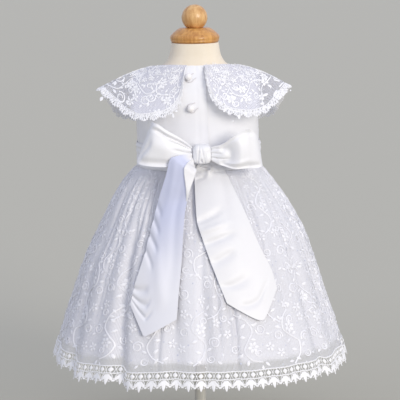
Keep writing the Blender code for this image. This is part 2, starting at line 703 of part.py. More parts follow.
def make_skirt(collection):
    """Tulle skirt and satin lining, each a front and a back that meet at the side seams."""
    heights = np.array(SKIRT_HEIGHTS[::-1])[:, None]
    lining_heights = np.array(LINING_HEIGHTS[::-1])[:, None]
    (inset,) = table_columns(LINING_INSET_ROWS, lining_heights)
    for side, start in (("front", 0.0), ("back", math.pi)):
        seam = 0.5 * SEAM_GAP / SKIRT_ROWS[0][1]
        angle = np.linspace(start + seam, start + math.pi - seam, SKIRT_COLUMNS + 1)[None, :]
        cloth_wall("skirt_tulle_" + side, skirt_point(angle, heights), TULLE_WALL, "tulle", collection)
        angle = np.linspace(start + seam, start + math.pi - seam, LINING_COLUMNS + 1)[None, :]
        points = skirt_point(angle, lining_heights, inset)
        cloth_wall("skirt_lining_" + side, points, SATIN_WALL, "satin", collection)


def lace_outline(repeats):
    """Flat points and faces of the hem lace: places along it in repeats, and depths below its top edge.

    Each repeat has a band and a leaf. The gap between two leaves, under the
    band and over the point where they join, stays open.
    """
    places, depths, faces = [], [], []

    def point(place, depth):
        places.append(place)
        depths.append(depth)
        return len(places) - 1

    top = point(0, 0)
    join_top = point(0, LACE_JOIN_TOP)
    join_point = point(0, LACE_JOIN_POINT)
    corner = point(0, LACE_BAND)
    leaf_left = point(LACE_LEAF_LEFT, LACE_BAND)
    for repeat in range(repeats):
        last = repeat == repeats - 1
        leaf_right = point(repeat + LACE_LEAF_RIGHT, LACE_BAND)
        notch_left = point(repeat + LACE_LEAF_LEFT, LACE_NOTCH)
        tip = point(repeat + 0.5, LACE_DEPTH)
        notch_right = point(repeat + LACE_LEAF_RIGHT, LACE_NOTCH)
        next_top = point(repeat + 1, 0)
        next_join_top = point(repeat + 1, LACE_JOIN_TOP)
        next_join_point = point(repeat + 1, LACE_JOIN_POINT)
        if last:
            next_left = point(repeat + 1, LACE_BAND)
        else:
            next_left = point(repeat + 1 + LACE_LEAF_LEFT, LACE_BAND)
        band = [top, leaf_left, leaf_right, next_left, next_top]
        if repeat == 0:
            band.insert(1, corner)
        leaf = [leaf_left, join_top, join_point, notch_left, tip, notch_right]
        leaf += [next_join_point, next_join_top, leaf_right]
        faces += [tuple(band), tuple(leaf)]
        top, join_top, join_point, leaf_left = next_top, next_join_top, next_join_point, next_left
    return np.array(places), np.array(depths), faces


def make_hem_lace(collection):
    """The wide edging lace under the tulle's hem, in a front and a back length."""
    places, depths, faces = lace_outline(LACE_REPEATS)
    for side, start in (("front", 0.0), ("back", math.pi)):
        seam = 0.5 * SEAM_GAP / SKIRT_ROWS[-1][1]
        span = math.pi - 2 * seam
        angle = start + seam + span * places / LACE_REPEATS
        points = skirt_point(angle, LACE_TOP_HEIGHT - depths)
        cloth_wall("hem_lace_" + side, points, TULLE_WALL, "lace", collection, faces)


def make_sash(collection):
    """The satin sash round the waist, a closed band over the bodice."""
    angles = np.linspace(0, 2 * math.pi, SASH_COLUMNS, endpoint=False)
    heights = np.linspace(SASH_BOTTOM, SASH_TOP, SASH_ROWS)
    points = over_form(angles[None, :], heights[:, None], np.full((SASH_ROWS, SASH_COLUMNS), SASH_OFFSET))
    cloth_wall("sash_band", points, SATIN_WALL, "satin", collection, ring_faces(SASH_ROWS, SASH_COLUMNS))


def make_bow(collection):
    """Two loops, the knot and two tails of the bow."""
    for name, rows in (("bow_loop_left", LOOP_LEFT_ROWS), ("bow_loop_right", LOOP_RIGHT_ROWS)):
        along = np.linspace(0, 1, LOOP_STEPS + 1)[None, :]
        across = np.linspace(0, 1, LOOP_STRIPS + 1)[:, None]
        low_x, high_x, y, low_z, high_z = path_columns(rows, along)
        x = low_x + (high_x - low_x) * across
        z = low_z + (high_z - low_z) * across
        dish = LOOP_DISH * np.sin(math.pi * across) * np.sin(math.pi * along)
        outward = np.cos(math.pi * along)
        points = np.stack(np.broadcast_arrays(x, y - dish * outward, z), axis=-1)
        if name == "bow_loop_left":
            points = points[:, ::-1]
        cloth_wall(name, points, SATIN_WALL, "satin", collection)

    mesh = bpy.data.meshes.new("bow_knot")
    shape = bmesh.new()
    bmesh.ops.create_cube(shape, size=2)
    bmesh.ops.scale(shape, vec=KNOT_HALF, verts=shape.verts)
    shape.to_mesh(mesh)
    shape.free()
    knot = add_object("bow_knot", mesh, "satin", collection, sharp_angle=80)
    knot.location = KNOT_CENTRE
    bevel = knot.modifiers.new("Soft edges", "BEVEL")
    bevel.width = KNOT_ROUND
    bevel.segments = KNOT_SEGMENTS
    bevel.limit_method = "NONE"

    tails = (
        ("bow_tail_left", TAIL_LEFT_ROWS, TAIL_LEFT_POINT),
        ("bow_tail_right", TAIL_RIGHT_ROWS, TAIL_RIGHT_POINT),
    )
    for name, rows, point_place in tails:
        along = np.linspace(1, 0, TAIL_STEPS + 1)[:, None]
        across = np.linspace(0, 1, TAIL_STRIPS + 1)[None, :]
        left_x, left_z, right_x, right_z, stand_off, hang, least = path_columns(rows, along)
        x = left_x + (right_x - left_x) * across
        tent = np.minimum(across / point_place, (1 - across) / (1 - point_place))
        z = left_z + (right_z - left_z) * across - hang * tent
        points = np.stack([x, over_skirt_y(x, z, stand_off, least), z], axis=-1)
        cloth_wall(name, points, SATIN_WALL, "satin", collection)


def over_skirt_y(x, height, stand_off, least):
    """Depth of a cloth that bridges the skirt's folds at the back, lifted by a stand-off, or its least depth.

    The larger of the two is taken with a soft change from one to the other.
    """
    half_width, half_depth, centre_x, squareness = skirt_oval(height)
    waist = smooth_step(height, WAIST_HEIGHT - TAIL_WAIST_BLEND, WAIST_HEIGHT + TAIL_WAIST_BLEND)
    half_width = half_width + stand_off + waist * TAIL_WAIST_LIFT
    half_depth = half_depth + stand_off + waist * TAIL_WAIST_LIFT
    inside = np.clip(1 - np.abs((x - centre_x) / half_width) ** squareness, 0, 1)
    depth = half_depth * inside ** (1 / squareness)
    return -0.5 * (depth + least + np.sqrt((depth - least) ** 2 + TAIL_DEPTH_BLEND**2))


def lift_all(collection):
    """Hangs every object made so far on one empty at the level that their heights are measured from."""
    level = bpy.data.objects.new("form_level", None)
    level.location = (0, 0, FORM_LIFT)
    for item in list(collection.objects):
        item.parent = level
    collection.objects.link(level)


def main():
    """Makes every piece of the dress and of the form that carries it."""
    clear_scene()
    collection = make_collection("baby_tulle_dress_on_form")
    make_form(collection)
    make_cap(collection)
    make_bodice(collection)
    make_buttons(collection)
    make_collar(collection)
    make_skirt(collection)
    make_hem_lace(collection)
    make_sash(collection)
    make_bow(collection)
    lift_all(collection)
    make_stand(collection)
    bpy.context.view_layer.update()


main()
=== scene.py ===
"""Looks of a baby's tulle dress that hangs on a limbless dress form, in metres with +Z up.

The back of the dress, with its buttons and bow, faces -Y, and +X is on the right as
seen from there. Angles run anticlockwise from +X seen from above, so the centre back
is at 270 degrees. Heights of the form and the dress are measured from a level that
lies FORM_LIFT above the floor.
"""

import math

import bpy
import numpy as np
from mathutils import Matrix


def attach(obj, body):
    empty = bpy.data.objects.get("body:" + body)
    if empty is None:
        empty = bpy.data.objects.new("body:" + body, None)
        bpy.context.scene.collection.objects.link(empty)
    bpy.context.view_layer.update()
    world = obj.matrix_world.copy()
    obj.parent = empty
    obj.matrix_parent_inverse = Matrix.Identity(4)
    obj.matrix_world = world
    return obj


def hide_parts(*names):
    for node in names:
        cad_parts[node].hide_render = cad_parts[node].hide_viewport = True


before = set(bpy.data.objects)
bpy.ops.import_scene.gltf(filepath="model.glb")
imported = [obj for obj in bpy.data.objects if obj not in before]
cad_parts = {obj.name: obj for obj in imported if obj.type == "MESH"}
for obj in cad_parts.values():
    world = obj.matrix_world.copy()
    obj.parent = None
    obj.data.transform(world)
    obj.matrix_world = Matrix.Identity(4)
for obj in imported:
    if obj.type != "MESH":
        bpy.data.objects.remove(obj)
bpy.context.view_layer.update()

bl_info = {
    "name": "Baby tulle dress on a dress form",
    "version": (1, 0, 0),
    "blender": (4, 5, 0),
    "location": "3D View > Sidebar > Dress",
    "description": "Builds the satin, tulle, embroidery, lace and bow of a baby's dress on its solids",
    "category": "Add Mesh",
}

# Level that the heights of the form and the dress are measured from, above the floor
FORM_LIFT = 0.0440

# Heights of the dress
NECK_SIDE_HEIGHT = 0.4845
NECK_BACK_RISE = 0.0060
NECK_FRONT_DROP = 0.0085
WAIST_HEIGHT = 0.3580
SASH_BOTTOM = 0.3515
SASH_TOP = 0.3850
LACE_TOP_HEIGHT = 0.1046
LINING_HEM_HEIGHT = 0.1160

# Offsets of the outer faces from the form
BODICE_OFFSET = 0.0024
SASH_OFFSET = 0.0052
COLLAR_OFFSET = 0.0053

# Placket: how far the upper back lies over the lower one, radians over which it rises there, depth of its
# stitched line, rise of its edge, and the sideways places of its edge and of the edge under it
PLACKET_LIFT = 0.0014
PLACKET_RAMP = 0.45
PLACKET_DENT = 0.0003
PLACKET_EDGE_RISE = 0.0004
PLACKET_EDGE_X = 0.0115
UNDERLAP_EDGE_X = -0.0030

# Lengthwise rolls of the sash and their depth
SASH_ROLLS = 3
SASH_ROLL_DEPTH = 0.0009

# Seams: half the gap between two panels
SIDE_SEAM = 0.00005

# How deep the bodice's satin ripples, and the folded binding's width and height
RIPPLE_DEPTH = 0.00028
BINDING_SIZE = (0.0034, 0.0013)
BINDING_LENGTH = 0.34
BINDING_POINTS = 160

# Armholes, measured on the form's side
ARMHOLE_BOTTOM = 0.4230
ARMHOLE_TOP = 0.4690
ARMHOLE_SWING = math.radians(21)

# Form and stand. The cap's outline gives the share down it and the share of its radius, and its grooves the
# share down, half width and depth. The base's foot is set in and up by two small sizes.
FORM_BOTTOM = 0.1650
FORM_TOP = 0.5207
CAP_BOTTOM = 0.5210
CAP_TOP = 0.5405
CAP_RADIUS = 0.0340
CAP_OUTLINE = ((0.0, 0.60), (0.13, 0.73), (0.34, 0.88), (0.50, 0.97), (0.64, 1.0), (0.87, 0.985), (1.0, 0.92))
CAP_GROOVES = ((0.40, 0.030, 0.018), (0.80, 0.026, 0.014))
BALL_RADIUS = 0.0178
BALL_CENTRE = 0.5547
SEAT_GAP = 0.0003
POLE_RADIUS = 0.0080
POLE_BEVEL = 0.0006
POLE_MIDDLE = 0.1200
BASE_RADIUS = 0.1100
BASE_THICKNESS = 0.0200
BASE_ROUNDING = 0.0040
BASE_FOOT = (0.0008, 0.0012)
BASE_TOP_RINGS = (0.020, 0.060, 0.085)
FORM_COLUMNS = 96
TURNED_COLUMNS = 64

# Buttons: sideways place and height of each pearl's seat
BUTTONS = ((-0.0082, 0.4735), (-0.0060, 0.4360))

# Camera: pitch and roll in degrees, distance and height of its target, focal length and sideways shift as
# shares of the picture's width, and its sensor's width in millimetres. The floor's half width comes after.
CAMERA_PITCH = 10.0
CAMERA_ROLL = -0.9
CAMERA_DISTANCE = 2.3
CAMERA_TARGET = 0.3
CAMERA_FOCUS = 4.10725
CAMERA_SHIFT = 0.0065
SENSOR_WIDTH = 36.0
FLOOR_HALF = 40.0

# Thread loops of the buttons: half width, half height and shift sideways, run of the ends, and thickness
LOOP_OVAL = (0.0058, 0.0062, 0.0012)
LOOP_END = 0.0040
LOOP_THREAD = 0.0011

# Form: height, half width, half depth, sideways place of its centre
FORM_ROWS = (
    (FORM_BOTTOM, 0.0520, 0.0380, 0.0000),
    (0.1690, 0.0660, 0.0500, 0.0000),
    (0.1800, 0.0760, 0.0590, 0.0010),
    (0.2100, 0.0810, 0.0640, 0.0020),
    (0.2600, 0.0830, 0.0660, 0.0030),
    (0.3100, 0.0824, 0.0648, 0.0030),
    (0.3580, 0.0816, 0.0634, 0.0030),
    (0.4000, 0.0822, 0.0634, 0.0020),
    (0.4300, 0.0822, 0.0622, 0.0010),
    (0.4480, 0.0814, 0.0598, 0.0000),
    (0.4610, 0.0796, 0.0560, 0.0000),
    (0.4705, 0.0755, 0.0515, 0.0000),
    (0.4770, 0.0685, 0.0472, 0.0000),
    (0.4825, 0.0590, 0.0434, 0.0000),
    (0.4875, 0.0485, 0.0402, 0.0000),
    (0.4940, 0.0405, 0.0368, 0.0000),
    (0.5050, 0.0350, 0.0337, 0.0000),
    (FORM_TOP, 0.0325, 0.0325, 0.0000),
)
FORM_SQUARENESS = 2.3
CHEST_WIDTH = 0.0822
CHEST_DEPTH = 0.0634

# Skirt: its upper edge, and how far the tulle laps over the top of the lace
SKIRT_TOP = 0.3577
TULLE_LAP = 0.0006
# Skirt's outer surface: height, half width, half depth, sideways place of its centre
SKIRT_ROWS = (
    (SKIRT_TOP, 0.0851, 0.0669, 0.0030),
    (0.3510, 0.0851, 0.0669, 0.0030),
    (0.3480, 0.0885, 0.0702, 0.0022),
    (0.3420, 0.0945, 0.0756, 0.0014),
    (0.3350, 0.1010, 0.0820, 0.0010),
    (0.3270, 0.1071, 0.0880, 0.0010),
    (0.3043, 0.1220, 0.1035, 0.0020),
    (0.2815, 0.1342, 0.1175, 0.0032),
    (0.2587, 0.1456, 0.1295, 0.0034),
    (0.2357, 0.1556, 0.1405, 0.0022),
    (0.2127, 0.1645, 0.1505, 0.0012),
    (0.1896, 0.1722, 0.1596, 0.0008),
    (0.1665, 0.1800, 0.1680, 0.0006),
    (0.1432, 0.1882, 0.1762, 0.0006),
    (0.1199, 0.1958, 0.1842, 0.0008),
    (0.0966, 0.2036, 0.1922, 0.0010),
    (0.0780, 0.2096, 0.1985, 0.0010),
)
SKIRT_SQUARENESS = (2.3, 2.15)
SKIRT_ROUND_HEIGHTS = (0.3400, 0.2500)
HEM_TILT = 0.0140

# Lining: how far its outer face lies inside the tulle's, by height
LINING_INSET_ROWS = (
    (SKIRT_TOP, 0.0015),
    (0.3510, 0.0018),
    (0.3350, 0.0050),
    (0.2800, 0.0070),
    (LINING_HEM_HEIGHT, 0.0085),
)

# Waist gathers
GATHER_COUNT = 28
GATHER_DEPTH = 0.0017
GATHER_START = 0.3500
GATHER_FULL = 0.3300
GATHER_END = 0.2500

# Skirt folds: angle at waist, angle at hem, width at hem in degrees, depth at hem, height where it starts
SKIRT_FOLDS = (
    (206.0, 211.0, 3.6, 0.0075, 0.300),
    (222.0, 224.5, 5.0, 0.0030, 0.330),
    (228.0, 237.4, 3.4, 0.0110, 0.345),
    (243.0, 249.0, 4.5, 0.0030, 0.320),
    (256.0, 260.0, 4.2, 0.0062, 0.280),
    (271.0, 272.5, 3.0, 0.0042, 0.290),
    (285.0, 283.5, 4.5, 0.0030, 0.260),
    (300.0, 296.0, 4.8, 0.0034, 0.310),
    (313.0, 309.0, 4.0, 0.0040, 0.330),
    (324.0, 323.0, 3.6, 0.0062, 0.320),
    (338.0, 337.0, 5.0, 0.0035, 0.300),
    (351.0, 352.0, 4.2, 0.0050, 0.280),
    (8.0, 6.0, 4.8, 0.0036, 0.310),
    (21.0, 20.0, 3.6, 0.0070, 0.320),
    (38.0, 36.0, 5.0, 0.0034, 0.290),
    (52.0, 51.0, 3.6, 0.0085, 0.335),
    (67.0, 66.0, 4.6, 0.0034, 0.270),
    (82.0, 80.0, 4.0, 0.0052, 0.300),
    (97.0, 99.0, 4.6, 0.0036, 0.280),
    (111.0, 113.0, 3.6, 0.0080, 0.330),
    (127.0, 128.0, 5.0, 0.0034, 0.300),
    (141.0, 143.0, 3.8, 0.0066, 0.320),
    (157.0, 158.0, 4.8, 0.0034, 0.290),
    (171.0, 173.0, 4.0, 0.0056, 0.310),
    (190.0, 192.0, 4.6, 0.0038, 0.290),
)

# Hem steps beside the deepest folds: angle, how much lower the hem hangs after it, degrees until it is level
HEM_STEPS = (
    (213.5, 0.0060, 22.0),
    (239.6, 0.0050, 20.0),
    (325.0, 0.0030, 16.0),
    (53.0, 0.0045, 20.0),
    (113.0, 0.0040, 20.0),
    (144.0, 0.0035, 18.0),
)

# Narrow creases between the main folds: how many, and the seed that scatters them
FINE_FOLDS = 110
FINE_SEED = 11

# Collar, right half: neckline angle, outer edge x, y, z, lift of its middle, and how much farther the left
# half reaches out and how much lower it hangs
COLLAR_ROWS = (
    (-76.0, 0.0118, -0.0520, 0.4865, 0.000, 0.0020, 0.0000),
    (-73.0, 0.0128, -0.0620, 0.4760, 0.000, 0.0022, 0.0030),
    (-70.0, 0.0160, -0.0705, 0.4620, 0.000, 0.0010, 0.0040),
    (-65.0, 0.0225, -0.0785, 0.4480, 0.000, 0.0000, 0.0045),
    (-57.0, 0.0320, -0.0830, 0.4370, 0.000, 0.0000, 0.0050),
    (-47.0, 0.0480, -0.0845, 0.4280, 0.001, 0.0000, 0.0030),
    (-35.0, 0.0705, -0.0825, 0.4255, 0.003, 0.0010, 0.0030),
    (-23.0, 0.0930, -0.0705, 0.4290, 0.006, 0.0020, 0.0000),
    (-12.0, 0.1130, -0.0460, 0.4420, 0.009, 0.0040, -0.0030),
    (-4.0, 0.1290, -0.0200, 0.4570, 0.011, 0.0050, 0.0000),
    (4.0, 0.1325, 0.0070, 0.4560, 0.011, 0.0030, 0.0000),
    (14.0, 0.1225, 0.0310, 0.4340, 0.010, 0.0010, 0.0000),
    (25.0, 0.1125, 0.0500, 0.4145, 0.006, 0.0010, 0.0000),
    (37.0, 0.0990, 0.0720, 0.4050, 0.003, 0.0000, 0.0000),
    (49.0, 0.0740, 0.0860, 0.4010, 0.001, 0.0000, 0.0000),
    (60.0, 0.0480, 0.0920, 0.4015, 0.000, 0.0000, 0.0000),
    (68.0, 0.0270, 0.0920, 0.4080, 0.000, 0.0000, 0.0000),
    (74.0, 0.0130, 0.0860, 0.4240, 0.000, 0.0000, 0.0000),
    (79.0, 0.0065, 0.0780, 0.4430, 0.000, 0.0000, 0.0000),
    (83.0, 0.0035, 0.0700, 0.4590, 0.000, 0.0000, 0.0000),
    (86.0, 0.0022, 0.0620, 0.4710, 0.000, 0.0000, 0.0000),
)
COLLAR_HANDLE = 0.45
COLLAR_WAVES = 5
COLLAR_WAVE_DEPTH = 0.0016
COLLAR_LACE_WIDTH = 0.0090
COLLAR_MOTIFS = 32

# Picot lace of the collar: length of a motif in millimetres, and the seed that scatters its petals
PICOT_PITCH = 12.0
PICOT_SEED = 5
# Petals of a motif as place sideways, place back from the edge and length, and knots as both places, in
# millimetres
PICOT_PETALS = ((-3.6, -5.3, 3.6), (-1.3, -6.1, 4.6), (1.3, -6.1, 4.6), (3.6, -5.3, 3.6))
PICOT_KNOTS = ((-5.9, -5.4), (-4.4, -7.2), (-2.2, -8.4), (0.0, -8.5), (2.2, -8.4), (4.4, -7.2))

# Hem lace: repeats and beads in each half, and the length of a repeat in millimetres
LACE_REPEATS = 39
LACE_DOT_COUNT = 55
LACE_PITCH = 16.3

# Bow loops from the knot round the tip and back: lower x, upper x, y, lower z, upper z
LOOP_LEFT_ROWS = (
    (-0.0058, -0.0058, -0.0890, 0.3710, 0.3875),
    (-0.0230, -0.0200, -0.0960, 0.3650, 0.4000),
    (-0.0450, -0.0390, -0.1005, 0.3625, 0.4120),
    (-0.0660, -0.0520, -0.0990, 0.3640, 0.4210),
    (-0.0780, -0.0580, -0.0915, 0.3665, 0.4225),
    (-0.0808, -0.0592, -0.0820, 0.3690, 0.4220),
    (-0.0770, -0.0560, -0.0740, 0.3680, 0.4190),
    (-0.0600, -0.0450, -0.0720, 0.3650, 0.4100),
    (-0.0350, -0.0300, -0.0745, 0.3650, 0.4000),
    (-0.0058, -0.0058, -0.0800, 0.3720, 0.3865),
)
LOOP_RIGHT_ROWS = (
    (0.0196, 0.0196, -0.0935, 0.3690, 0.3880),
    (0.0340, 0.0340, -0.0975, 0.3630, 0.3920),
    (0.0530, 0.0520, -0.1005, 0.3585, 0.4040),
    (0.0720, 0.0700, -0.0990, 0.3585, 0.4120),
    (0.0845, 0.0800, -0.0910, 0.3590, 0.4030),
    (0.0885, 0.0835, -0.0810, 0.3600, 0.3950),
    (0.0850, 0.0800, -0.0730, 0.3600, 0.3960),
    (0.0680, 0.0660, -0.0700, 0.3600, 0.3990),
    (0.0420, 0.0420, -0.0735, 0.3620, 0.3920),
    (0.0202, 0.0202, -0.0800, 0.3710, 0.3860),
)
# How far the middle of a loop is dished outwards
LOOP_DISH = 0.0030
# Sizes that the creases of a loop and of a tail are laid out on
LOOP_LENGTH = 0.200
LOOP_HEIGHT = 0.045
TAIL_WIDTH = 0.066
TAIL_LENGTH = 0.200

# Knot: its centre and half sizes, and the power that makes its box round
KNOT_CENTRE = (0.0072, -0.0846, 0.3778)
KNOT_HALF = (0.0126, 0.0140, 0.0130)
KNOT_ROUNDNESS = 0.55
# Folds of the knot in shares of its half sizes: place sideways, lean, half width, depth, share lost low down
KNOT_FOLDS = (
    (-0.36, 0.10, 0.060, 0.17, 0.5),
    (-0.72, -0.10, 0.060, 0.05, 0.0),
    (0.10, -0.22, 0.070, 0.06, 0.0),
    (0.42, 0.20, 0.060, 0.05, 0.0),
)
# Its hollows: place sideways, place up, half width, half height, depth
KNOT_HOLLOWS = (
    (0.80, 0.22, 0.20, 0.34, 0.20),
    (-0.08, -0.62, 0.090, 0.16, 0.30),
)

# Tails from the knot down: left x, left z, right x, right z, stand-off from the skirt, hang of the point,
# least depth. The left one comes out over the lower corner of its loop and hangs down to meet the skirt.
TAIL_LEFT_ROWS = (
    (-0.0060, 0.3800, -0.0058, 0.3670, 0.0031, 0.0000, 0.0915),
    (-0.0330, 0.3765, -0.0030, 0.3540, 0.0034, 0.0000, 0.1042),
    (-0.0425, 0.3485, -0.0095, 0.3340, 0.0050, 0.0005, 0.1040),
    (-0.0596, 0.2953, -0.0165, 0.2950, 0.0060, 0.0010, 0.1000),
    (-0.0727, 0.2477, -0.0215, 0.2477, 0.0055, 0.0060, 0.1000),
    (-0.0880, 0.2054, -0.0265, 0.2054, 0.0050, 0.0230, 0.1000),
    (-0.0925, 0.1870, -0.0299, 0.1716, 0.0050, 0.0353, 0.1000),
)
TAIL_RIGHT_ROWS = (
    (0.0065, 0.3700, 0.0190, 0.3690, 0.0031, 0.0000, 0.0),
    (0.0005, 0.3600, 0.0332, 0.3590, 0.0034, 0.0000, 0.0),
    (-0.0034, 0.3435, 0.0430, 0.3420, 0.0050, 0.0005, 0.0),
    (-0.0015, 0.2974, 0.0650, 0.2974, 0.0060, 0.0010, 0.0),
    (0.0086, 0.2630, 0.0800, 0.2630, 0.0055, 0.0060, 0.0),
    (0.0254, 0.2191, 0.0990, 0.2250, 0.0050, 0.0250, 0.0),
    (0.0372, 0.1903, 0.1058, 0.2032, 0.0050, 0.0405, 0.0),
)
# How softly a tail leaves the skirt, where its point lies across it, and how blunt the point is
TAIL_DEPTH_BLEND = 0.0100
TAIL_LEFT_POINT = 0.30
TAIL_RIGHT_POINT = 0.70
TAIL_LEFT_TIP = 0.06
TAIL_RIGHT_TIP = 0.18
# The left tail's folded-over strip: how much the cloth slopes up to it over a whole width, and its own rise
STRIP_SLOPE = 0.0165
STRIP_RISE = 0.0024

# Soft creases of the loops: place up from the lower edge, place along from the knot, turn in degrees, half
# length, half width, depth. Places run from 0 to 1 on each piece, and a minus depth is a ridge.
LOOP_LEFT_CREASES = (
    (0.84, 0.19, 0, 0.036, 0.0017, 0.0040),
    (0.93, 0.20, 0, 0.036, 0.0016, -0.0012),
    (0.73, 0.12, 2, 0.020, 0.0018, 0.0022),
    (0.50, 0.09, 4, 0.014, 0.0018, 0.0020),
    (0.30, 0.10, -6, 0.012, 0.0016, 0.0020),
    (0.08, 0.30, -3, 0.030, 0.0042, 0.0042),
    (0.34, 0.42, -34, 0.018, 0.0050, 0.0022),
    (0.52, 0.26, 6, 0.022, 0.0080, -0.0020),
    (0.50, 0.74, 0, 0.024, 0.0050, 0.0012),
    (0.66, 0.86, 6, 0.018, 0.0030, 0.0012),
)
LOOP_RIGHT_CREASES = (
    (0.82, 0.07, -8, 0.010, 0.0015, 0.0016),
    (0.56, 0.06, 0, 0.009, 0.0016, 0.0014),
    (0.30, 0.09, 6, 0.014, 0.0018, 0.0022),
    (0.05, 0.30, 2, 0.030, 0.0034, 0.0046),
    (0.18, 0.22, 4, 0.022, 0.0026, -0.0012),
    (0.92, 0.26, 0, 0.022, 0.0026, 0.0014),
    (0.50, 0.72, 0, 0.024, 0.0050, 0.0012),
    (0.66, 0.86, 6, 0.018, 0.0030, 0.0012),
)
# Arched creases of the right loop: place of their centre up and along, radius, half width, depth
LOOP_RIGHT_ARCHES = (
    (0.46, 0.100, 0.0150, 0.0062, 0.0034),
    (0.46, 0.105, 0.0310, 0.0070, -0.0026),
    (0.46, 0.110, 0.0455, 0.0090, 0.0014),
)
# Soft creases of the tails: place down, place across, turn in degrees, half length, half width, depth
TAIL_LEFT_CREASES = (
    (0.46, 0.08, 24, 0.012, 0.0024, 0.0020),
    (0.52, 0.10, 30, 0.014, 0.0026, 0.0026),
    (0.59, 0.12, 28, 0.014, 0.0026, 0.0030),
    (0.66, 0.10, 32, 0.012, 0.0024, 0.0024),
    (0.80, 0.10, -35, 0.012, 0.0026, 0.0030),
    (0.85, 0.16, -38, 0.014, 0.0026, 0.0030),
    (0.90, 0.22, -30, 0.014, 0.0026, 0.0022),
    (0.55, 0.74, 84, 0.046, 0.0080, 0.0014),
    (0.30, 0.26, 78, 0.034, 0.0080, -0.0010),
    (0.74, 0.50, 62, 0.026, 0.0080, -0.0016),
)
TAIL_RIGHT_CREASES = (
    (0.09, 0.42, -28, 0.020, 0.0030, -0.0044),
    (0.14, 0.28, -30, 0.018, 0.0030, 0.0036),
    (0.22, 0.30, 16, 0.012, 0.0040, 0.0034),
    (0.24, 0.50, -66, 0.018, 0.0050, -0.0032),
    (0.28, 0.30, 12, 0.012, 0.0036, -0.0024),
    (0.33, 0.16, -16, 0.010, 0.0026, 0.0018),
    (0.50, 0.26, -18, 0.020, 0.0034, 0.0034),
    (0.56, 0.30, -18, 0.020, 0.0034, -0.0024),
    (0.63, 0.30, -20, 0.022, 0.0034, 0.0034),
    (0.72, 0.26, -22, 0.018, 0.0032, 0.0030),
    (0.82, 0.34, -26, 0.020, 0.0034, 0.0026),
    (0.90, 0.60, -30, 0.020, 0.0034, 0.0018),
    (0.45, 0.66, -70, 0.034, 0.0080, 0.0014),
    (0.72, 0.72, -70, 0.030, 0.0080, 0.0010),
)

# One embroidered sprig, in millimetres: its stem, its tendrils as centre, outer and inner radius, start
# and turns, its leaves as place, direction, length and width, its flowers as place, petals, radius and turn
SPRIG_STEM = ((-10, -36), (3, -25), (8, -10), (-3, 3), (-12, 15), (-6, 28), (7, 35))
SPRIG_TENDRILS = (
    (20.0, -6.0, 7.6, 2.6, 196, -1.35),
    (-22.5, 8.0, 6.8, 2.2, -28, 1.40),
    (14.0, -27.5, 5.6, 2.0, 172, 1.30),
    (6.0, 22.0, 5.0, 1.8, 214, -1.20),
)
SPRIG_LEAVES = (
    (-14, -31, 168, 8.0, 3.0), (-2, -31, -40, 7.0, 2.8), (-3, -18, 152, 8.5, 3.2), (12, -15, 34, 7.5, 3.0),
    (-8, -4, 200, 8.0, 3.0), (5, 3, 24, 7.0, 2.8), (-19, 19, 150, 8.5, 3.2), (-13, 30, 118, 7.5, 3.0),
    (12, 40, 58, 7.5, 3.0), (4, 42, 104, 6.5, 2.6), (28, 3, 40, 6.5, 2.6), (25, -32, -30, 6.5, 2.6),
)
SPRIG_FLOWERS = ((1.0, 12.5, 6, 8.2, 10), (-26.0, -14.0, 5, 6.4, 40), (24.0, 20.0, 5, 6.6, 0))
SPRIG_DOTS = (
    (-20, -24), (-27, 0), (-31, 14), (17, 31), (30, 12),
    (31, -12), (6, -38), (-4, 46), (34, 26), (20, 8),
)
SPRIG_SEQUINS = ((-16, -8), (15, 14), (-22, 28), (30, -22), (-30, -30))

# Sprigs round the skirt: height, how many in half a turn, first place as a share of the spacing, size
SPRIG_ROUNDS = (
    (0.142, 9, 0.50, 1.00),
    (0.196, 8, 0.12, 1.00),
    (0.250, 7, 0.62, 0.95),
    (0.297, 6, 0.25, 0.86),
    (0.333, 6, 0.72, 0.62),
)
# Sprigs on half a collar: place along, place from neckline to edge, turn in degrees, size
COLLAR_SPRIGS = (
    (0.12, 0.52, 30, 0.66), (0.215, 0.66, 205, 0.80), (0.31, 0.58, 100, 0.84), (0.40, 0.66, 310, 0.90),
    (0.50, 0.58, 150, 0.90), (0.59, 0.64, 20, 0.86), (0.685, 0.58, 250, 0.84), (0.78, 0.62, 80, 0.78),
    (0.87, 0.58, 190, 0.66), (0.26, 0.25, 60, 0.50), (0.36, 0.24, 170, 0.52), (0.45, 0.24, 280, 0.52),
    (0.55, 0.24, 30, 0.52), (0.64, 0.24, 140, 0.52), (0.74, 0.25, 250, 0.46), (0.17, 0.24, 330, 0.40),
)
# Sprigs on the bodice front: angle in degrees, height, turn in degrees, size
BODICE_SPRIGS = (
    (16, 0.405, 10, 0.42), (34, 0.432, 170, 0.44), (40, 0.392, 80, 0.40), (58, 0.415, 220, 0.46),
    (76, 0.440, 40, 0.46), (86, 0.400, 300, 0.44), (104, 0.430, 130, 0.46), (120, 0.398, 20, 0.44),
    (134, 0.434, 250, 0.44), (148, 0.402, 90, 0.42), (163, 0.410, 200, 0.40), (90, 0.462, 150, 0.40),
    (62, 0.458, 340, 0.38), (118, 0.458, 60, 0.38), (172, 0.404, 30, 0.30), (7, 0.402, 190, 0.30),
)


def linear(code):
    """The linear colour of an sRGB hex code, each channel through the sRGB curve."""
    channels = np.array([int(code[place:place + 2], 16) for place in (1, 3, 5)]) / 255
    high = ((channels + 0.055) / 1.055) ** 2.4
    return tuple(float(x) for x in np.where(channels <= 0.04045, channels / 12.92, high))


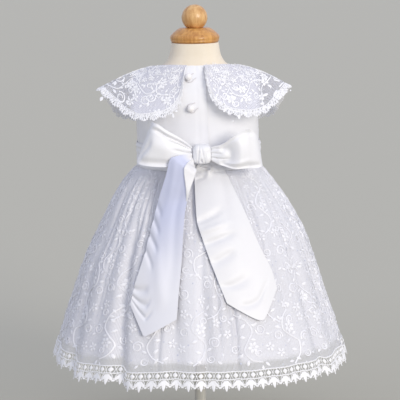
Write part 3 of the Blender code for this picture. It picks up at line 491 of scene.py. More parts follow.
def table_columns(rows, at):
    """Every other column of a table, read smoothly at values of its first one.

    The curve is a cubic between rows whose slopes are the harmonic mean of the
    steps on both sides, so that it never swings past the rows.
    """
    table = np.array(sorted(rows))
    knots = table[:, 0]
    at = np.clip(np.asarray(at, dtype=float), knots[0], knots[-1])
    index = np.clip(np.searchsorted(knots, at, side="right") - 1, 0, len(knots) - 2)
    width = np.diff(knots)
    share = (at - knots[index]) / width[index]
    columns = []
    for values in table.T[1:]:
        steps = np.diff(values) / width
        slopes = np.empty(len(knots))
        slopes[0], slopes[-1] = steps[0], steps[-1]
        same_way = steps[:-1] * steps[1:] > 0
        total = np.where(same_way, steps[:-1] + steps[1:], 1.0)
        slopes[1:-1] = np.where(same_way, 2 * steps[:-1] * steps[1:] / total, 0.0)
        low_slope = slopes[index] * width[index]
        high_slope = slopes[index + 1] * width[index]
        columns.append(
            values[index] * (1 + 2 * share) * (1 - share) ** 2
            + low_slope * share * (1 - share) ** 2
            + values[index + 1] * share**2 * (3 - 2 * share)
            + high_slope * share**2 * (share - 1)
        )
    return columns


def path_columns(rows, at):
    """Every column of a table whose rows are even steps of a path, at 0 to 1 along it."""
    return table_columns([(place / (len(rows) - 1), *row) for place, row in enumerate(rows)], at)


def smooth_step(value, start, end):
    """0 before start, 1 after end, and 3 s^2 - 2 s^3 of the share s between them."""
    share = np.clip((value - start) / (end - start), 0, 1)
    return share * share * (3 - 2 * share)


def unit(vectors):
    """Each vector divided by its own length."""
    return vectors / np.maximum(np.linalg.norm(vectors, axis=-1, keepdims=True), 1e-12)


def oval(angle, half_width, half_depth, squareness):
    """Points x, y of a superellipse: a power of 2 is an ellipse, and a higher one is squarer."""
    cosine, sine = np.cos(angle), np.sin(angle)
    reach = (np.abs(cosine) ** squareness + np.abs(sine) ** squareness) ** (-1 / squareness)
    return half_width * reach * cosine, half_depth * reach * sine


def form_surface(angle, height):
    """The form: a superellipse at each height, its half axes read from a table."""
    angle, height = np.broadcast_arrays(angle, height)
    half_width, half_depth, centre_x = table_columns(FORM_ROWS, height)
    x, y = oval(angle, half_width, half_depth, FORM_SQUARENESS)
    return np.stack([x + centre_x, y, height], axis=-1)


def normal_of(surface, a, b, step=1e-4):
    """The outward direction of a surface: its slope along b crossed on its slope along a."""
    along = surface(a + step, b) - surface(a - step, b)
    rise = surface(a, b + step) - surface(a, b - step)
    return unit(np.cross(along, rise))


def raised(surface, a, b, lift):
    """Points of a surface moved off it along its normal."""
    a, b, lift = np.broadcast_arrays(a, b, lift)
    return surface(a, b) + normal_of(surface, a, b) * lift[..., None]


def skirt_fall(height):
    """0 at the waist, 1 at the tulle's hem, and on to 1.1 below it."""
    return np.clip((WAIST_HEIGHT - height) / (WAIST_HEIGHT - LACE_TOP_HEIGHT), 0, 1.1)


def fold_depth(angle, height):
    """Main folds: bell-shaped troughs on lines that lean from waist to hem, and even gathers at the waist."""
    depth = np.zeros(np.broadcast(angle, height).shape)
    degrees = np.degrees(angle) % 360
    fall = skirt_fall(height)
    for waist, hem, width, deepest, start in SKIRT_FOLDS:
        away = (degrees - waist - (hem - waist) * fall + 180) % 360 - 180
        ramp = smooth_step(-height, -start, -(start - 0.13)) * (0.6 + 0.4 * fall)
        depth = depth + deepest * ramp * np.exp(-((away / (width * (0.55 + 0.45 * fall))) ** 2))
    rise = smooth_step(-height, -GATHER_START, -GATHER_FULL)
    fade = 1 - smooth_step(-height, -GATHER_FULL, -GATHER_END)
    return depth + GATHER_DEPTH * rise * fade * (0.5 - 0.5 * np.cos(GATHER_COUNT * angle))


def fine_depth(angle, height):
    """Narrow creases of the net: bell-shaped troughs scattered round it, each over a stretch of height."""
    rng = np.random.default_rng(FINE_SEED)
    middle = np.linspace(0, 360, FINE_FOLDS, endpoint=False) + rng.uniform(-1.4, 1.4, FINE_FOLDS)
    width = rng.uniform(0.45, 1.05, FINE_FOLDS)
    share = rng.uniform(0.35, 1.0, FINE_FOLDS)
    top = np.where(rng.random(FINE_FOLDS) < 0.7, 0.352, rng.uniform(0.20, 0.33, FINE_FOLDS))
    bottom = top - rng.uniform(0.05, 0.24, FINE_FOLDS)
    lean = rng.uniform(-2.5, 2.5, FINE_FOLDS)
    degrees = np.degrees(angle) % 360
    fall = skirt_fall(height)
    (inset,) = table_columns(LINING_INSET_ROWS, height)
    depth = np.zeros(np.broadcast(angle, height).shape)
    for place in range(FINE_FOLDS):
        away = (degrees - middle[place] - lean[place] * fall + 180) % 360 - 180
        held = smooth_step(-height, -top[place], -(top[place] - 0.02))
        held = held * (1 - smooth_step(-height, -(bottom[place] + 0.05), -bottom[place]))
        spread = width[place] * (1.5 - 0.5 * fall)
        depth = depth + share[place] * held * np.exp(-((away / spread) ** 2))
    return np.minimum(depth, 1.2) * np.minimum(0.55 * inset, 0.0036)


def hem_steps(angle, height):
    """How much lower the cloth hangs beside the deepest folds: a quick soft step down, then a slow one up."""
    degrees = np.degrees(angle) % 360
    drop = np.zeros(np.broadcast(angle, height).shape)
    for place, deepest, run in HEM_STEPS:
        away = (degrees - place + 180) % 360 - 180
        drop = drop + deepest * smooth_step(away, -1.6, 1.6) * (1 - smooth_step(away, 1.6, run))
    return drop * skirt_fall(height) ** 2


def skirt_surface(angle, height, inset=0.0):
    """The skirt: a superellipse at each height, drawn in by the folds and an inset, lower on the right."""
    angle, height = np.broadcast_arrays(angle, height)
    half_width, half_depth, centre_x = table_columns(SKIRT_ROWS, height)
    roundness = smooth_step(-height, -SKIRT_ROUND_HEIGHTS[0], -SKIRT_ROUND_HEIGHTS[1])
    squareness = SKIRT_SQUARENESS[0] + roundness * (SKIRT_SQUARENESS[1] - SKIRT_SQUARENESS[0])
    inward = fold_depth(angle, height) + inset
    x, y = oval(angle, half_width - inward, half_depth - inward, squareness)
    z = height - HEM_TILT * x * skirt_fall(height) ** 2 - hem_steps(angle, height)
    return np.stack([x + centre_x, y, z], axis=-1)


def tulle_surface(angle, height):
    """The tulle: the skirt with its narrow creases."""
    angle, height = np.broadcast_arrays(angle, height)
    return skirt_surface(angle, height, fine_depth(angle, height))


def lining_surface(angle, height):
    """The lining: the skirt again, further in by an inset from a table, with the creases at half depth."""
    angle, height = np.broadcast_arrays(angle, height)
    (inset,) = table_columns(LINING_INSET_ROWS, height)
    return skirt_surface(angle, height, inset + 0.5 * fine_depth(angle, height))


def neckline_height(angle):
    """The neckline rises at the back and dips at the front."""
    back = NECK_BACK_RISE * smooth_step(-np.sin(angle), 0.0, 1.0)
    return NECK_SIDE_HEIGHT + back - NECK_FRONT_DROP * smooth_step(np.sin(angle), 0.0, 1.0)


def collar_right(along, rise):
    """Right half of the collar, with rise as 0 at its edge and 1 at the neckline.

    Each line out of the neckline is a quadratic curve that leaves along the
    shoulder's slope and ends on the outer edge. Waves grow towards the edge.
    """
    along, rise = np.broadcast_arrays(along, rise)
    t = (1 - rise)[..., None]
    degrees, edge_x, edge_y, edge_z, lift, _, _ = path_columns(COLLAR_ROWS, along)
    return collar_curve(along, t, degrees, edge_x, edge_y, edge_z, lift)


def collar_left(along, rise):
    """Left half of the collar: the right one's curves, longer and lower, mirrored, along from -1 to 0."""
    along, rise = np.broadcast_arrays(-along, rise)
    t = (1 - rise)[..., None]
    degrees, edge_x, edge_y, edge_z, lift, reach, drop = path_columns(COLLAR_ROWS, along)
    point = collar_curve(along, t, degrees, edge_x + reach, edge_y, edge_z - drop, lift)
    return point * (-1, 1, 1)


def collar_curve(along, t, degrees, edge_x, edge_y, edge_z, lift):
    """Points at a share t of the curves from the neckline to the collar's edge."""
    angle = np.radians(degrees)
    height = neckline_height(angle)
    start = form_surface(angle, height) + normal_of(form_surface, angle, height) * COLLAR_OFFSET
    edge = np.stack([edge_x, edge_y, edge_z], axis=-1)
    downhill = unit(form_surface(angle, height - 0.004) - form_surface(angle, height))
    length = np.linalg.norm(edge - start, axis=-1, keepdims=True)
    handle = start + downhill * length * COLLAR_HANDLE
    handle[..., 2] += lift
    point = start * (1 - t) ** 2 + handle * 2 * t * (1 - t) + edge * t**2
    calm_ends = np.sin(math.pi * np.clip(along, 0, 1)) ** 0.5
    wave = COLLAR_WAVE_DEPTH * np.sin(2 * math.pi * COLLAR_WAVES * along) * t[..., 0] ** 2 * calm_ends
    outward = np.stack([np.cos(angle), np.sin(angle), np.full(along.shape, 0.5)], axis=-1)
    return point + outward * wave[..., None]


def collar_length(surface, along):
    """How long the collar is from neckline to edge at places along it."""
    return np.linalg.norm(surface(along, np.zeros_like(along)) - surface(along, np.ones_like(along)), axis=-1)


def loop_points(rows, along, across):
    """A bow loop: lower and upper edges read from a table and joined straight, dished out in the middle."""
    low_x, high_x, y, low_z, high_z = path_columns(rows, along)
    x = low_x + (high_x - low_x) * across
    z = low_z + (high_z - low_z) * across
    dish = LOOP_DISH * np.sin(math.pi * np.clip(across, 0, 1)) * np.sin(math.pi * np.clip(along, 0, 1))
    return np.stack(np.broadcast_arrays(x, y - dish * np.cos(math.pi * along), z), axis=-1)


def over_skirt_y(x, height, stand_off, least):
    """Depth of a cloth that bridges the skirt's folds at the back, lifted by a stand-off, or its least depth.

    The larger of the two is half of their sum and of the root of their difference
    squared and a blend squared.
    """
    half_width, half_depth, centre_x = table_columns(SKIRT_ROWS, height)
    roundness = smooth_step(-height, -SKIRT_ROUND_HEIGHTS[0], -SKIRT_ROUND_HEIGHTS[1])
    squareness = SKIRT_SQUARENESS[0] + roundness * (SKIRT_SQUARENESS[1] - SKIRT_SQUARENESS[0])
    half_width, half_depth = half_width + stand_off, half_depth + stand_off
    inside = np.clip(1 - np.abs((x - centre_x) / half_width) ** squareness, 0, 1)
    depth = half_depth * inside ** (1 / squareness)
    return -0.5 * (depth + least + np.sqrt((depth - least) ** 2 + TAIL_DEPTH_BLEND**2))


def tail_points(rows, point_place, tip_round, across, along):
    """A tail: straight lines between its two edges, over the skirt, with a pointed lower end.

    The point is a tent whose distance d from its ridge is softened to the root of d
    squared and a radius squared.
    """
    left_x, left_z, right_x, right_z, stand_off, hang, least = path_columns(rows, along)
    x = left_x + (right_x - left_x) * across
    away = 1 - np.minimum(across / point_place, (1 - across) / (1 - point_place))
    tent = 1 - np.sqrt(away**2 + tip_round**2) + (math.hypot(1, tip_round) - 1) * np.clip(away, 0, 1)
    z = left_z + (right_z - left_z) * across - hang * tent
    return np.stack([x, over_skirt_y(x, z, stand_off, least), z], axis=-1)


def arch_lift(table, up, along, height, length):
    """Sum of arched creases: a bell across a circle round each centre, fading where the circle turns back."""
    lift = np.zeros(np.broadcast(up, along).shape)
    for at_up, at_along, radius, half_width, depth in table:
        x = (along - at_along) * length
        y = (up - at_up) * height
        ahead = smooth_step(x, -0.3 * radius, 0.3 * radius)
        lift = lift - depth * ahead * np.exp(-(((np.hypot(x, y) - radius) / half_width) ** 2))
    return lift


def crease_lift(table, x_share, y_share, x_size, y_size):
    """Sum of the creases of a table: a bell across each line, and a flat-topped one along it.

    The table's first value is a share of the y size, and its second one of the x size.
    A plus depth goes into the cloth, and a minus one out of it.
    """
    lift = np.zeros(np.broadcast(x_share, y_share).shape)
    for at_y, at_x, turn, half_length, half_width, depth in table:
        x = (x_share - at_x) * x_size
        y = (y_share - at_y) * y_size
        cosine, sine = math.cos(math.radians(turn)), math.sin(math.radians(turn))
        forward = x * cosine + y * sine
        sideways = y * cosine - x * sine
        lift = lift - depth * np.exp(-((sideways / half_width) ** 2) - (forward / half_length) ** 4)
    return lift


def quads_of(index):
    """Faces of a grid of point numbers, to the right along its columns and up its rows."""
    corners = (index[:-1, :-1], index[:-1, 1:], index[1:, 1:], index[1:, :-1])
    return np.stack(corners, axis=-1).reshape(-1, 4)


def closed_rings(points, low, high):
    """Rings of points, one over another, each closed on itself, with a fan round a hub below and one above.

    Returns the points and both hubs, the faces with four corners, and those with three.
    """
    columns = points.shape[1]
    index = np.arange(points.shape[0] * columns).reshape(-1, columns)
    closed = np.concatenate([index, index[:, :1]], axis=1)
    fans = [
        np.stack([closed[0, 1:], closed[0, :-1], np.full(columns, index.size)], axis=-1),
        np.stack([closed[-1, :-1], closed[-1, 1:], np.full(columns, index.size + 1)], axis=-1),
    ]
    return np.concatenate([points.reshape(-1, 3), [low, high]]), quads_of(closed), np.concatenate(fans)


def ring_shares(across, up):
    """Flat places in metres of the points of closed rings, and 0 for both hubs."""
    flat = np.stack(np.meshgrid(across, up), axis=-1).reshape(-1, 2)
    return np.concatenate([flat, np.zeros((2, 2))])


def shell(grid, wall, around=False):
    """A closed cloth wall: the outer grid, the same one a wall's thickness behind it, and a rim round both.

    Returns points, faces and each point's share along the columns and the rows.
    """
    rows, columns = grid.shape[:2]
    if around:
        wide = np.concatenate([grid[:, -1:], grid, grid[:, :1]], axis=1)
        across = wide[:, 2:] - wide[:, :-2]
    else:
        across = np.gradient(grid, axis=1)
    inner = grid - unit(np.cross(across, np.gradient(grid, axis=0))) * wall
    index = np.arange(rows * columns).reshape(rows, columns)
    if around:
        index = np.concatenate([index, index[:, :1]], axis=1)
        borders = [index[0], index[-1, ::-1]]
    else:
        borders = [np.concatenate([index[0], index[1:, -1], index[-1, -2::-1], index[-2::-1, 0]])]
    outer_faces = quads_of(index)
    behind = rows * columns
    faces = [outer_faces, outer_faces[:, ::-1] + behind]
    for border in borders:
        start, end = border[:-1], border[1:]
        faces.append(np.stack([end, start, start + behind, end + behind], axis=-1))
    share_u, share_v = np.meshgrid(np.linspace(0, 1, columns), np.linspace(0, 1, rows))
    shares = np.stack([share_u.ravel(), share_v.ravel()], axis=-1)
    points = np.concatenate([grid.reshape(-1, 3), inner.reshape(-1, 3)])
    return points, np.concatenate(faces), np.concatenate([shares, shares])


def thread(line, width, height, sides=4):
    """A raised thread on a flat line: an oval ring at each point, width across, height up, sunk a little."""
    line = np.asarray(line, dtype=float)
    count = len(line)
    ahead = unit(np.gradient(line, axis=0))
    side = np.stack([-ahead[:, 1], ahead[:, 0]], axis=1)
    turn = np.linspace(0, 2 * math.pi, sides, endpoint=False)
    width = np.broadcast_to(np.asarray(width, dtype=float), (count,))
    height = np.broadcast_to(np.asarray(height, dtype=float), (count,))
    flat = line[:, None, :] + side[:, None, :] * (0.5 * width[:, None] * np.cos(turn))[..., None]
    up = 0.5 * height[:, None] * (0.6 + np.sin(turn))
    points = np.concatenate([flat, up[..., None]], axis=-1).reshape(-1, 3)
    ring = np.arange(count - 1)[:, None] * sides
    following = ring + sides
    place = np.arange(sides)[None, :]
    beside = (place + 1) % sides
    quads = np.stack((ring + place, ring + beside, following + beside, following + place), axis=-1)
    quads = quads.reshape(-1, 4)
    spoke = np.arange(1, sides - 1)
    hub = np.zeros_like(spoke)
    last = (count - 1) * sides
    caps = [np.stack([hub, spoke + 1, spoke], axis=1), np.stack([hub, spoke, spoke + 1], axis=1) + last]
    return points, quads, np.concatenate(caps)


def leaf(x, y, turn, length, width, height, stations=5):
    """A satin-stitch leaf: a thread on a straight line whose width and height swell and shrink as a sine."""
    share = np.linspace(0, 1, stations)
    swell = np.sin(math.pi * np.clip(share, 0.04, 0.97)) ** 0.75
    direction = np.array([math.cos(math.radians(turn)), math.sin(math.radians(turn))])
    line = np.array([x, y]) + direction * ((share - 0.5) * length)[:, None]
    return thread(line, width * swell, height * swell ** 0.6)


def smooth_line(corners, count):
    """A flat line through corners, read with the smooth table at even steps."""
    return np.stack(path_columns(corners, np.linspace(0, 1, count)), axis=-1)


def join(parts):
    """Several shapes as one, with their point numbers moved on."""
    shift = np.cumsum([0] + [len(part[0]) for part in parts[:-1]])
    return (
        np.concatenate([part[0] for part in parts]),
        np.concatenate([part[1] + move for part, move in zip(parts, shift)]),
        np.concatenate([part[2] + move for part, move in zip(parts, shift)]),
    )


def copies(points, shape, flipped):
    """Faces for many copies of a shape whose points are given, turned over where a copy is mirrored."""
    count, size = points.shape[:2]
    move = (np.arange(count) * size)[:, None, None]
    over = np.asarray(flipped, dtype=bool)[:, None, None]
    quads = np.where(over, shape[1][None, :, ::-1], shape[1][None]) + move
    triangles = np.where(over, shape[2][None, :, ::-1], shape[2][None]) + move
    return points.reshape(-1, 3), quads.reshape(-1, 4), triangles.reshape(-1, 3)


def lay_on(surface, shape, places):
    """Copies of a flat shape laid on a surface.

    Each place is the surface's two parameters, a turn, a size and -1 for a mirrored
    copy. A copy's own right and up are divided by how far the surface goes for a
    small step of each parameter, and its height goes along the surface's normal.
    """
    a, b, turn, size, flip = (column[:, None] for column in np.array(places, dtype=float).T)
    x = shape[0][None, :, 0] * size * flip
    y = shape[0][None, :, 1] * size
    right = x * np.cos(turn) - y * np.sin(turn)
    up = x * np.sin(turn) + y * np.cos(turn)
    step = 2e-3
    along = np.linalg.norm(surface(a + step, b) - surface(a - step, b), axis=-1) / (2 * step)
    rise = np.linalg.norm(surface(a, b + step) - surface(a, b - step), axis=-1) / (2 * step)
    points = raised(surface, a + right / along, b + up / rise, shape[0][None, :, 2] * size)
    return copies(points, shape, flip[:, 0] < 0)


def make_mesh(name, points, quads, triangles=None, shares=None, flat=(1.0, 1.0), lift=FORM_LIFT):
    """A mesh from arrays of points and faces, with a UV map in metres of the flat cloth."""
    triangles = np.zeros((0, 3), dtype=int) if triangles is None else triangles
    corners = np.concatenate([quads.ravel(), triangles.ravel()]).astype(np.int32)
    starts = np.concatenate([np.arange(len(quads)) * 4, 4 * len(quads) + np.arange(len(triangles)) * 3])
    mesh = bpy.data.meshes.new(name)
    mesh.vertices.add(len(points))
    mesh.vertices.foreach_set("co", (points + (0, 0, lift)).astype(np.float32).ravel())
    mesh.loops.add(len(corners))
    mesh.loops.foreach_set("vertex_index", corners)
    mesh.polygons.add(len(starts))
    mesh.polygons.foreach_set("loop_start", starts.astype(np.int32))
    if shares is not None:
        layer = mesh.uv_layers.new(name="cloth")
        layer.data.foreach_set("uv", (shares * flat)[corners].astype(np.float32).ravel())
    mesh.update(calc_edges=True)
    mesh.validate()
    mesh.shade_smooth()
    mesh.set_sharp_from_angle(angle=math.radians(55))
    return mesh


def set_attribute(item, name, values):
    """Stores one number for each point of a shell, the same on both of its walls."""
    stored = item.data.attributes.new(name, "FLOAT", "POINT")
    stored.data.foreach_set("value", np.tile(values.ravel(), 2).astype(np.float32))


def add_piece(name, mesh, material, replaced=()):
    """An object round a mesh that rides on the one body and stands for the named nodes."""
    item = bpy.data.objects.new(name, mesh)
    bpy.context.scene.collection.objects.link(item)
    mesh.materials.append(material)
    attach(item, "root")
    if replaced:
        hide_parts(*replaced)
    return item


def cloth_piece(name, grid, wall, material, replaced=(), around=False):
    """A cloth wall as a piece, its UV map in metres: the mean length of its rows and of its columns."""
    points, faces, shares = shell(grid, wall, around)
    width = np.linalg.norm(np.diff(grid, axis=1), axis=-1).sum(axis=1).mean()
    length = np.linalg.norm(np.diff(grid, axis=0), axis=-1).sum(axis=0).mean()
    mesh = make_mesh(name, points, faces, shares=shares, flat=(width, length))
    return add_piece(name, mesh, material, replaced)


def node(tree, kind, settings=None, values=None, links=None):
    """One shader node with its settings, its socket values and its links from other nodes' outputs."""
    made = tree.nodes.new(kind)
    for key, value in (settings or {}).items():
        setattr(made, key, value)
    for socket, value in (values or {}).items():
        made.inputs[socket].default_value = value
    for socket, source in (links or {}).items():
        tree.links.new(source, made.inputs[socket])
    return made


def start_material(name, colour, values):
    """A material with a Principled shader, returned with its node tree and shader."""
    material = bpy.data.materials.get(name)
    if material is not None:
        bpy.data.materials.remove(material)
    material = bpy.data.materials.new(name)
    material.use_nodes = True
    material.diffuse_color = (*colour, 1.0)
    tree = material.node_tree
    shader = tree.nodes["Principled BSDF"]
    shader.inputs["Base Color"].default_value = (*colour, 1.0)
    for socket, value in values.items():
        shader.inputs[socket].default_value = value
    return material, tree, shader


def cloth_map(tree):
    """The piece's UV map, in metres of the flat cloth."""
    return node(tree, "ShaderNodeUVMap", {"uv_map": "cloth"}).outputs["UV"]


def wave_of(tree, vector, direction, spacing):
    """A cosine across straight lines: the position along a direction, in turns of one spacing."""
    turns = tuple(2 * math.pi * part / spacing for part in direction)
    dot = node(tree, "ShaderNodeVectorMath", {"operation": "DOT_PRODUCT"}, {1: turns}, {0: vector})
    return node(tree, "ShaderNodeMath", {"operation": "COSINE"}, links={0: dot.outputs["Value"]}).outputs[0]


def math_of(tree, operation, first, second, clamp=False):
    """A Math node of two inputs, each a number or another node's output."""
    made = node(tree, "ShaderNodeMath", {"operation": operation, "use_clamp": clamp})
    for place, value in enumerate((first, second)):
        if isinstance(value, (int, float)):
            made.inputs[place].default_value = value
        else:
            tree.links.new(value, made.inputs[place])
    return made.outputs[0]


def spread_of(tree, value, start, end):
    """A value spread so that start becomes 0 and end becomes 1, and held there outside them."""
    span = {"From Min": start, "From Max": end}
    return node(tree, "ShaderNodeMapRange", values=span, links={"Value": value}).outputs["Result"]


def colour_between(tree, factor, first, second):
    """Two colours mixed by a factor from 0 to 1."""
    mix = node(tree, "ShaderNodeMix", {"data_type": "RGBA"}, links={"Factor": factor})
    mix.inputs[6].default_value = (*first, 1.0)
    mix.inputs[7].default_value = (*second, 1.0)
    return mix.outputs[2]


def bump_to(tree, shader, height, strength, distance):
    """A bump of a real depth in metres on the shader's normal."""
    values = {"Strength": strength, "Distance": distance}
    bump = node(tree, "ShaderNodeBump", values=values, links={"Height": height})
    tree.links.new(bump.outputs["Normal"], shader.inputs["Normal"])


def woven_satin(name, colour, shade, painted_shade=None):
    """Polyester satin, woven with long floats: a smooth sheen, fine ribs along the warp, soft unevenness.

    Where the painted-shade attribute is stored, the colour goes over to a cooler and
    darker one: painted shade.
    """
    values = {"Roughness": 0.42, "Sheen Weight": 0.25, "Sheen Roughness": 0.4, "Anisotropic": 0.35}
    material, tree, shader = start_material(name, colour, values)
    flat = cloth_map(tree)
    # Floats lie 0.25 mm apart and are drawn at 0.5 mm, the least that shows close up
    ribs = wave_of(tree, flat, (1, 0, 0), 0.0005)
    cross = wave_of(tree, flat, (0.35, 0.94, 0), 0.0011)
    weave = math_of(tree, "ADD", ribs, cross)
    bump_to(tree, shader, weave, 0.25, 0.00004)
    noise = node(tree, "ShaderNodeTexNoise", values={"Scale": 38.0, "Detail": 3.0}, links={"Vector": flat})
    face = colour_between(tree, noise.outputs["Fac"], shade, colour)
    if painted_shade is not None:
        share = node(tree, "ShaderNodeAttribute", {"attribute_name": "painted_shade"}).outputs["Fac"]
        mix = node(tree, "ShaderNodeMix", {"data_type": "RGBA"}, links={"Factor": share})
        mix.inputs[7].default_value = (*painted_shade, 1.0)
        tree.links.new(face, mix.inputs[6])
        face = mix.outputs[2]
    tree.links.new(face, shader.inputs["Base Color"])
    return material


def hexagon_net(name, colour, openness, cell):
    """Polyester bobbin net: hexagon holes between fine threads, see-through by as much as the holes are open.

    Three cosines at 60 degrees add up to peaks on a hexagon lattice. The peaks are
    the holes and the rest is thread. The attribute "layers" makes the net denser
    where it is high, as over white cloth or where the net lies double.
    """
    values = {"Roughness": 0.6, "Sheen Weight": 0.3, "Sheen Roughness": 0.5}
    material, tree, shader = start_material(name, colour, values)
    flat = cloth_map(tree)
    first = wave_of(tree, flat, (1, 0, 0), cell)
    second = wave_of(tree, flat, (0.5, 0.866, 0), cell)
    third = wave_of(tree, flat, (0.5, -0.866, 0), cell)
    peaks = math_of(tree, "ADD", math_of(tree, "ADD", first, second), third)
    span = {"From Min": -1.1, "From Max": -0.3, "To Min": 1.0, "To Max": 1.0 - openness}
    opened = node(tree, "ShaderNodeMapRange", values=span, links={"Value": peaks}).outputs["Result"]
    layers = node(tree, "ShaderNodeAttribute", {"attribute_name": "layers"}).outputs["Fac"]
    thicker = math_of(tree, "MULTIPLY", layers, 0.45)
    tree.links.new(math_of(tree, "ADD", opened, thicker, clamp=True), shader.inputs["Alpha"])
    bump_to(tree, shader, peaks, 0.2, 0.00008)
    return material


def stitched_thread(name, colour, spacing):
    """Rayon embroidery thread in satin stitch: glossy, with the ribs of threads laid side by side."""
    values = {"Roughness": 0.38, "Sheen Weight": 0.4, "Sheen Roughness": 0.35, "Coat Weight": 0.1}
    material, tree, shader = start_material(name, colour, values)
    place = node(tree, "ShaderNodeTexCoord").outputs["Object"]
    ribs = wave_of(tree, place, (0.8, 0.2, 0.6), spacing)
    noise = node(tree, "ShaderNodeTexNoise", values={"Scale": 900.0, "Detail": 2.0}, links={"Vector": place})
    bump_to(tree, shader, math_of(tree, "ADD", ribs, noise.outputs["Fac"]), 0.3, 0.00012)
    return material


def lace_thread(name, colour):
    """Spun polyester thread of chemical lace: dull and slightly fuzzy, with uneven loops."""
    material, tree, shader = start_material(name, colour, {"Roughness": 0.72, "Sheen Weight": 0.35})
    place = node(tree, "ShaderNodeTexCoord").outputs["Object"]
    cells = node(tree, "ShaderNodeTexVoronoi", values={"Scale": 1400.0}, links={"Vector": place})
    bump_to(tree, shader, cells.outputs["Distance"], 0.6, 0.00018)
    return material


def moulded_pearl(name, colour):
    """Pearlised plastic: a milky body under a clear gloss, with faint cloudy swirls."""
    values = {"Roughness": 0.25, "Coat Weight": 0.7, "Coat Roughness": 0.08, "Sheen Weight": 0.2}
    material, tree, shader = start_material(name, colour, values)
    place = node(tree, "ShaderNodeTexCoord").outputs["Object"]
    values = {"Scale": 320.0, "Detail": 3.0, "Distortion": 1.5}
    cloud = node(tree, "ShaderNodeTexNoise", values=values, links={"Vector": place})
    warm = linear("#FDFAF8")
    tree.links.new(colour_between(tree, cloud.outputs["Fac"], colour, warm), shader.inputs["Base Color"])
    return material


def knitted_jersey(name, colour, shade):
    """Cream cotton jersey stretched on the form: matt, with fine upright ribs of knit stitches."""
    material, tree, shader = start_material(name, colour, {"Roughness": 0.85, "Sheen Weight": 0.2})
    flat = cloth_map(tree)
    # Wales lie 0.8 mm apart and are drawn at 1.2 mm so that they show
    ribs = wave_of(tree, flat, (1, 0, 0), 0.0012)
    loops = wave_of(tree, flat, (0, 1, 0), 0.0015)
    bump_to(tree, shader, math_of(tree, "ADD", ribs, math_of(tree, "MULTIPLY", loops, 0.5)), 0.4, 0.00012)
    noise = node(tree, "ShaderNodeTexNoise", values={"Scale": 30.0, "Detail": 4.0}, links={"Vector": flat})
    tree.links.new(colour_between(tree, noise.outputs["Fac"], shade, colour), shader.inputs["Base Color"])
    return material


def turned_beech(name, light, dark):
    """Beech turned on a lathe and varnished: upright grain in two tones, short flecks, fine tool rings."""
    values = {"Roughness": 0.38, "Coat Weight": 0.35, "Coat Roughness": 0.2}
    material, tree, shader = start_material(name, light, values)
    place = node(tree, "ShaderNodeTexCoord").outputs["Object"]
    values = {"Scale": (1.0, 1.0, 0.16)}
    stretched = node(tree, "ShaderNodeMapping", values=values, links={"Vector": place}).outputs[0]
    values = {"Scale": 170.0, "Detail": 5.0, "Distortion": 0.6}
    grain = node(tree, "ShaderNodeTexNoise", values=values, links={"Vector": stretched})
    values = {"Scale": 900.0, "Detail": 2.0}
    flecks = node(tree, "ShaderNodeTexNoise", values=values, links={"Vector": stretched})
    fleck = spread_of(tree, flecks.outputs["Fac"], 0.56, 0.72)
    band = spread_of(tree, grain.outputs["Fac"], 0.34, 0.66)
    fleck, band = math_of(tree, "MULTIPLY", fleck, 0.35), math_of(tree, "MULTIPLY", band, 0.75)
    both = math_of(tree, "ADD", band, fleck, clamp=True)
    tree.links.new(colour_between(tree, both, light, dark), shader.inputs["Base Color"])
    rings = wave_of(tree, place, (0, 0, 1), 0.0009)
    bump_to(tree, shader, rings, 0.15, 0.00003)
    return material


def cut_sequin(name, colour):
    """Clear pearl sequin, stamped from film: bright and slightly cloudy."""
    values = {"Roughness": 0.15, "Metallic": 0.35, "Coat Weight": 0.8}
    material, tree, shader = start_material(name, colour, values)
    place = node(tree, "ShaderNodeTexCoord").outputs["Object"]
    cloud = node(tree, "ShaderNodeTexNoise", values={"Scale": 500.0}, links={"Vector": place})
    shifting = colour_between(tree, cloud.outputs["Fac"], colour, linear("#DDE4F6"))
    tree.links.new(shifting, shader.inputs["Base Color"])
    return material


def studio_floor(name, colour):
    """Plain pale studio paper: a little light of its own keeps shadows faint, and painted shade darkens both
    that light and its colour towards the front.
    """
    values = {"Roughness": 0.95, "Emission Strength": 0.30}
    material, tree, shader = start_material(name, colour, values)
    place = node(tree, "ShaderNodeTexCoord").outputs["Object"]
    depth = node(tree, "ShaderNodeSeparateXYZ", links={"Vector": place}).outputs["Y"]
    # Painted shade: the glow and the paper's colour both darken towards the front
    back = spread_of(tree, depth, -0.6, 0.9)
    glow = colour_between(tree, back, tuple(0.77 * part for part in colour), colour)
    tree.links.new(glow, shader.inputs["Emission Color"])
    paper = colour_between(tree, back, linear("#9F9C90"), linear("#A5A399"))
    tree.links.new(paper, shader.inputs["Base Color"])
    return material


def sprig_shape():
    """One sprig of the embroidery, in metres: stem, tendrils, leaves, petals round hearts, and dots."""
    parts = [thread(smooth_line(SPRIG_STEM, 20), 2.3, 1.2, sides=3)]
    for x, y, outer, inner, start, turns in SPRIG_TENDRILS:
        share = np.linspace(0, 1, 20)
        angle = math.radians(start) + 2 * math.pi * turns * share
        radius = outer + (inner - outer) * share
        line = np.stack([x + radius * np.cos(angle), y + radius * np.sin(angle)], axis=-1)
        parts.append(thread(line, 2.3 - 0.6 * share, 1.1, sides=3))
    parts += [leaf(x, y, turn, length, 1.25 * width, 1.2) for x, y, turn, length, width in SPRIG_LEAVES]
    for x, y, petals, radius, turn in SPRIG_FLOWERS:
        for petal in range(petals):
            angle = math.radians(turn) + 2 * math.pi * petal / petals
            middle = 0.60 * radius
            place = (x + middle * math.cos(angle), y + middle * math.sin(angle))
            parts.append(leaf(*place, math.degrees(angle), 0.80 * radius, 0.56 * radius, 1.2))
        parts.append(leaf(x, y, turn, 0.34 * radius, 0.34 * radius, 1.5, stations=4))
    parts += [leaf(x, y, 0, 1.8, 1.8, 0.9, stations=4) for x, y in SPRIG_DOTS]
    points, quads, triangles = join(parts)
    return points * 0.001, quads, triangles


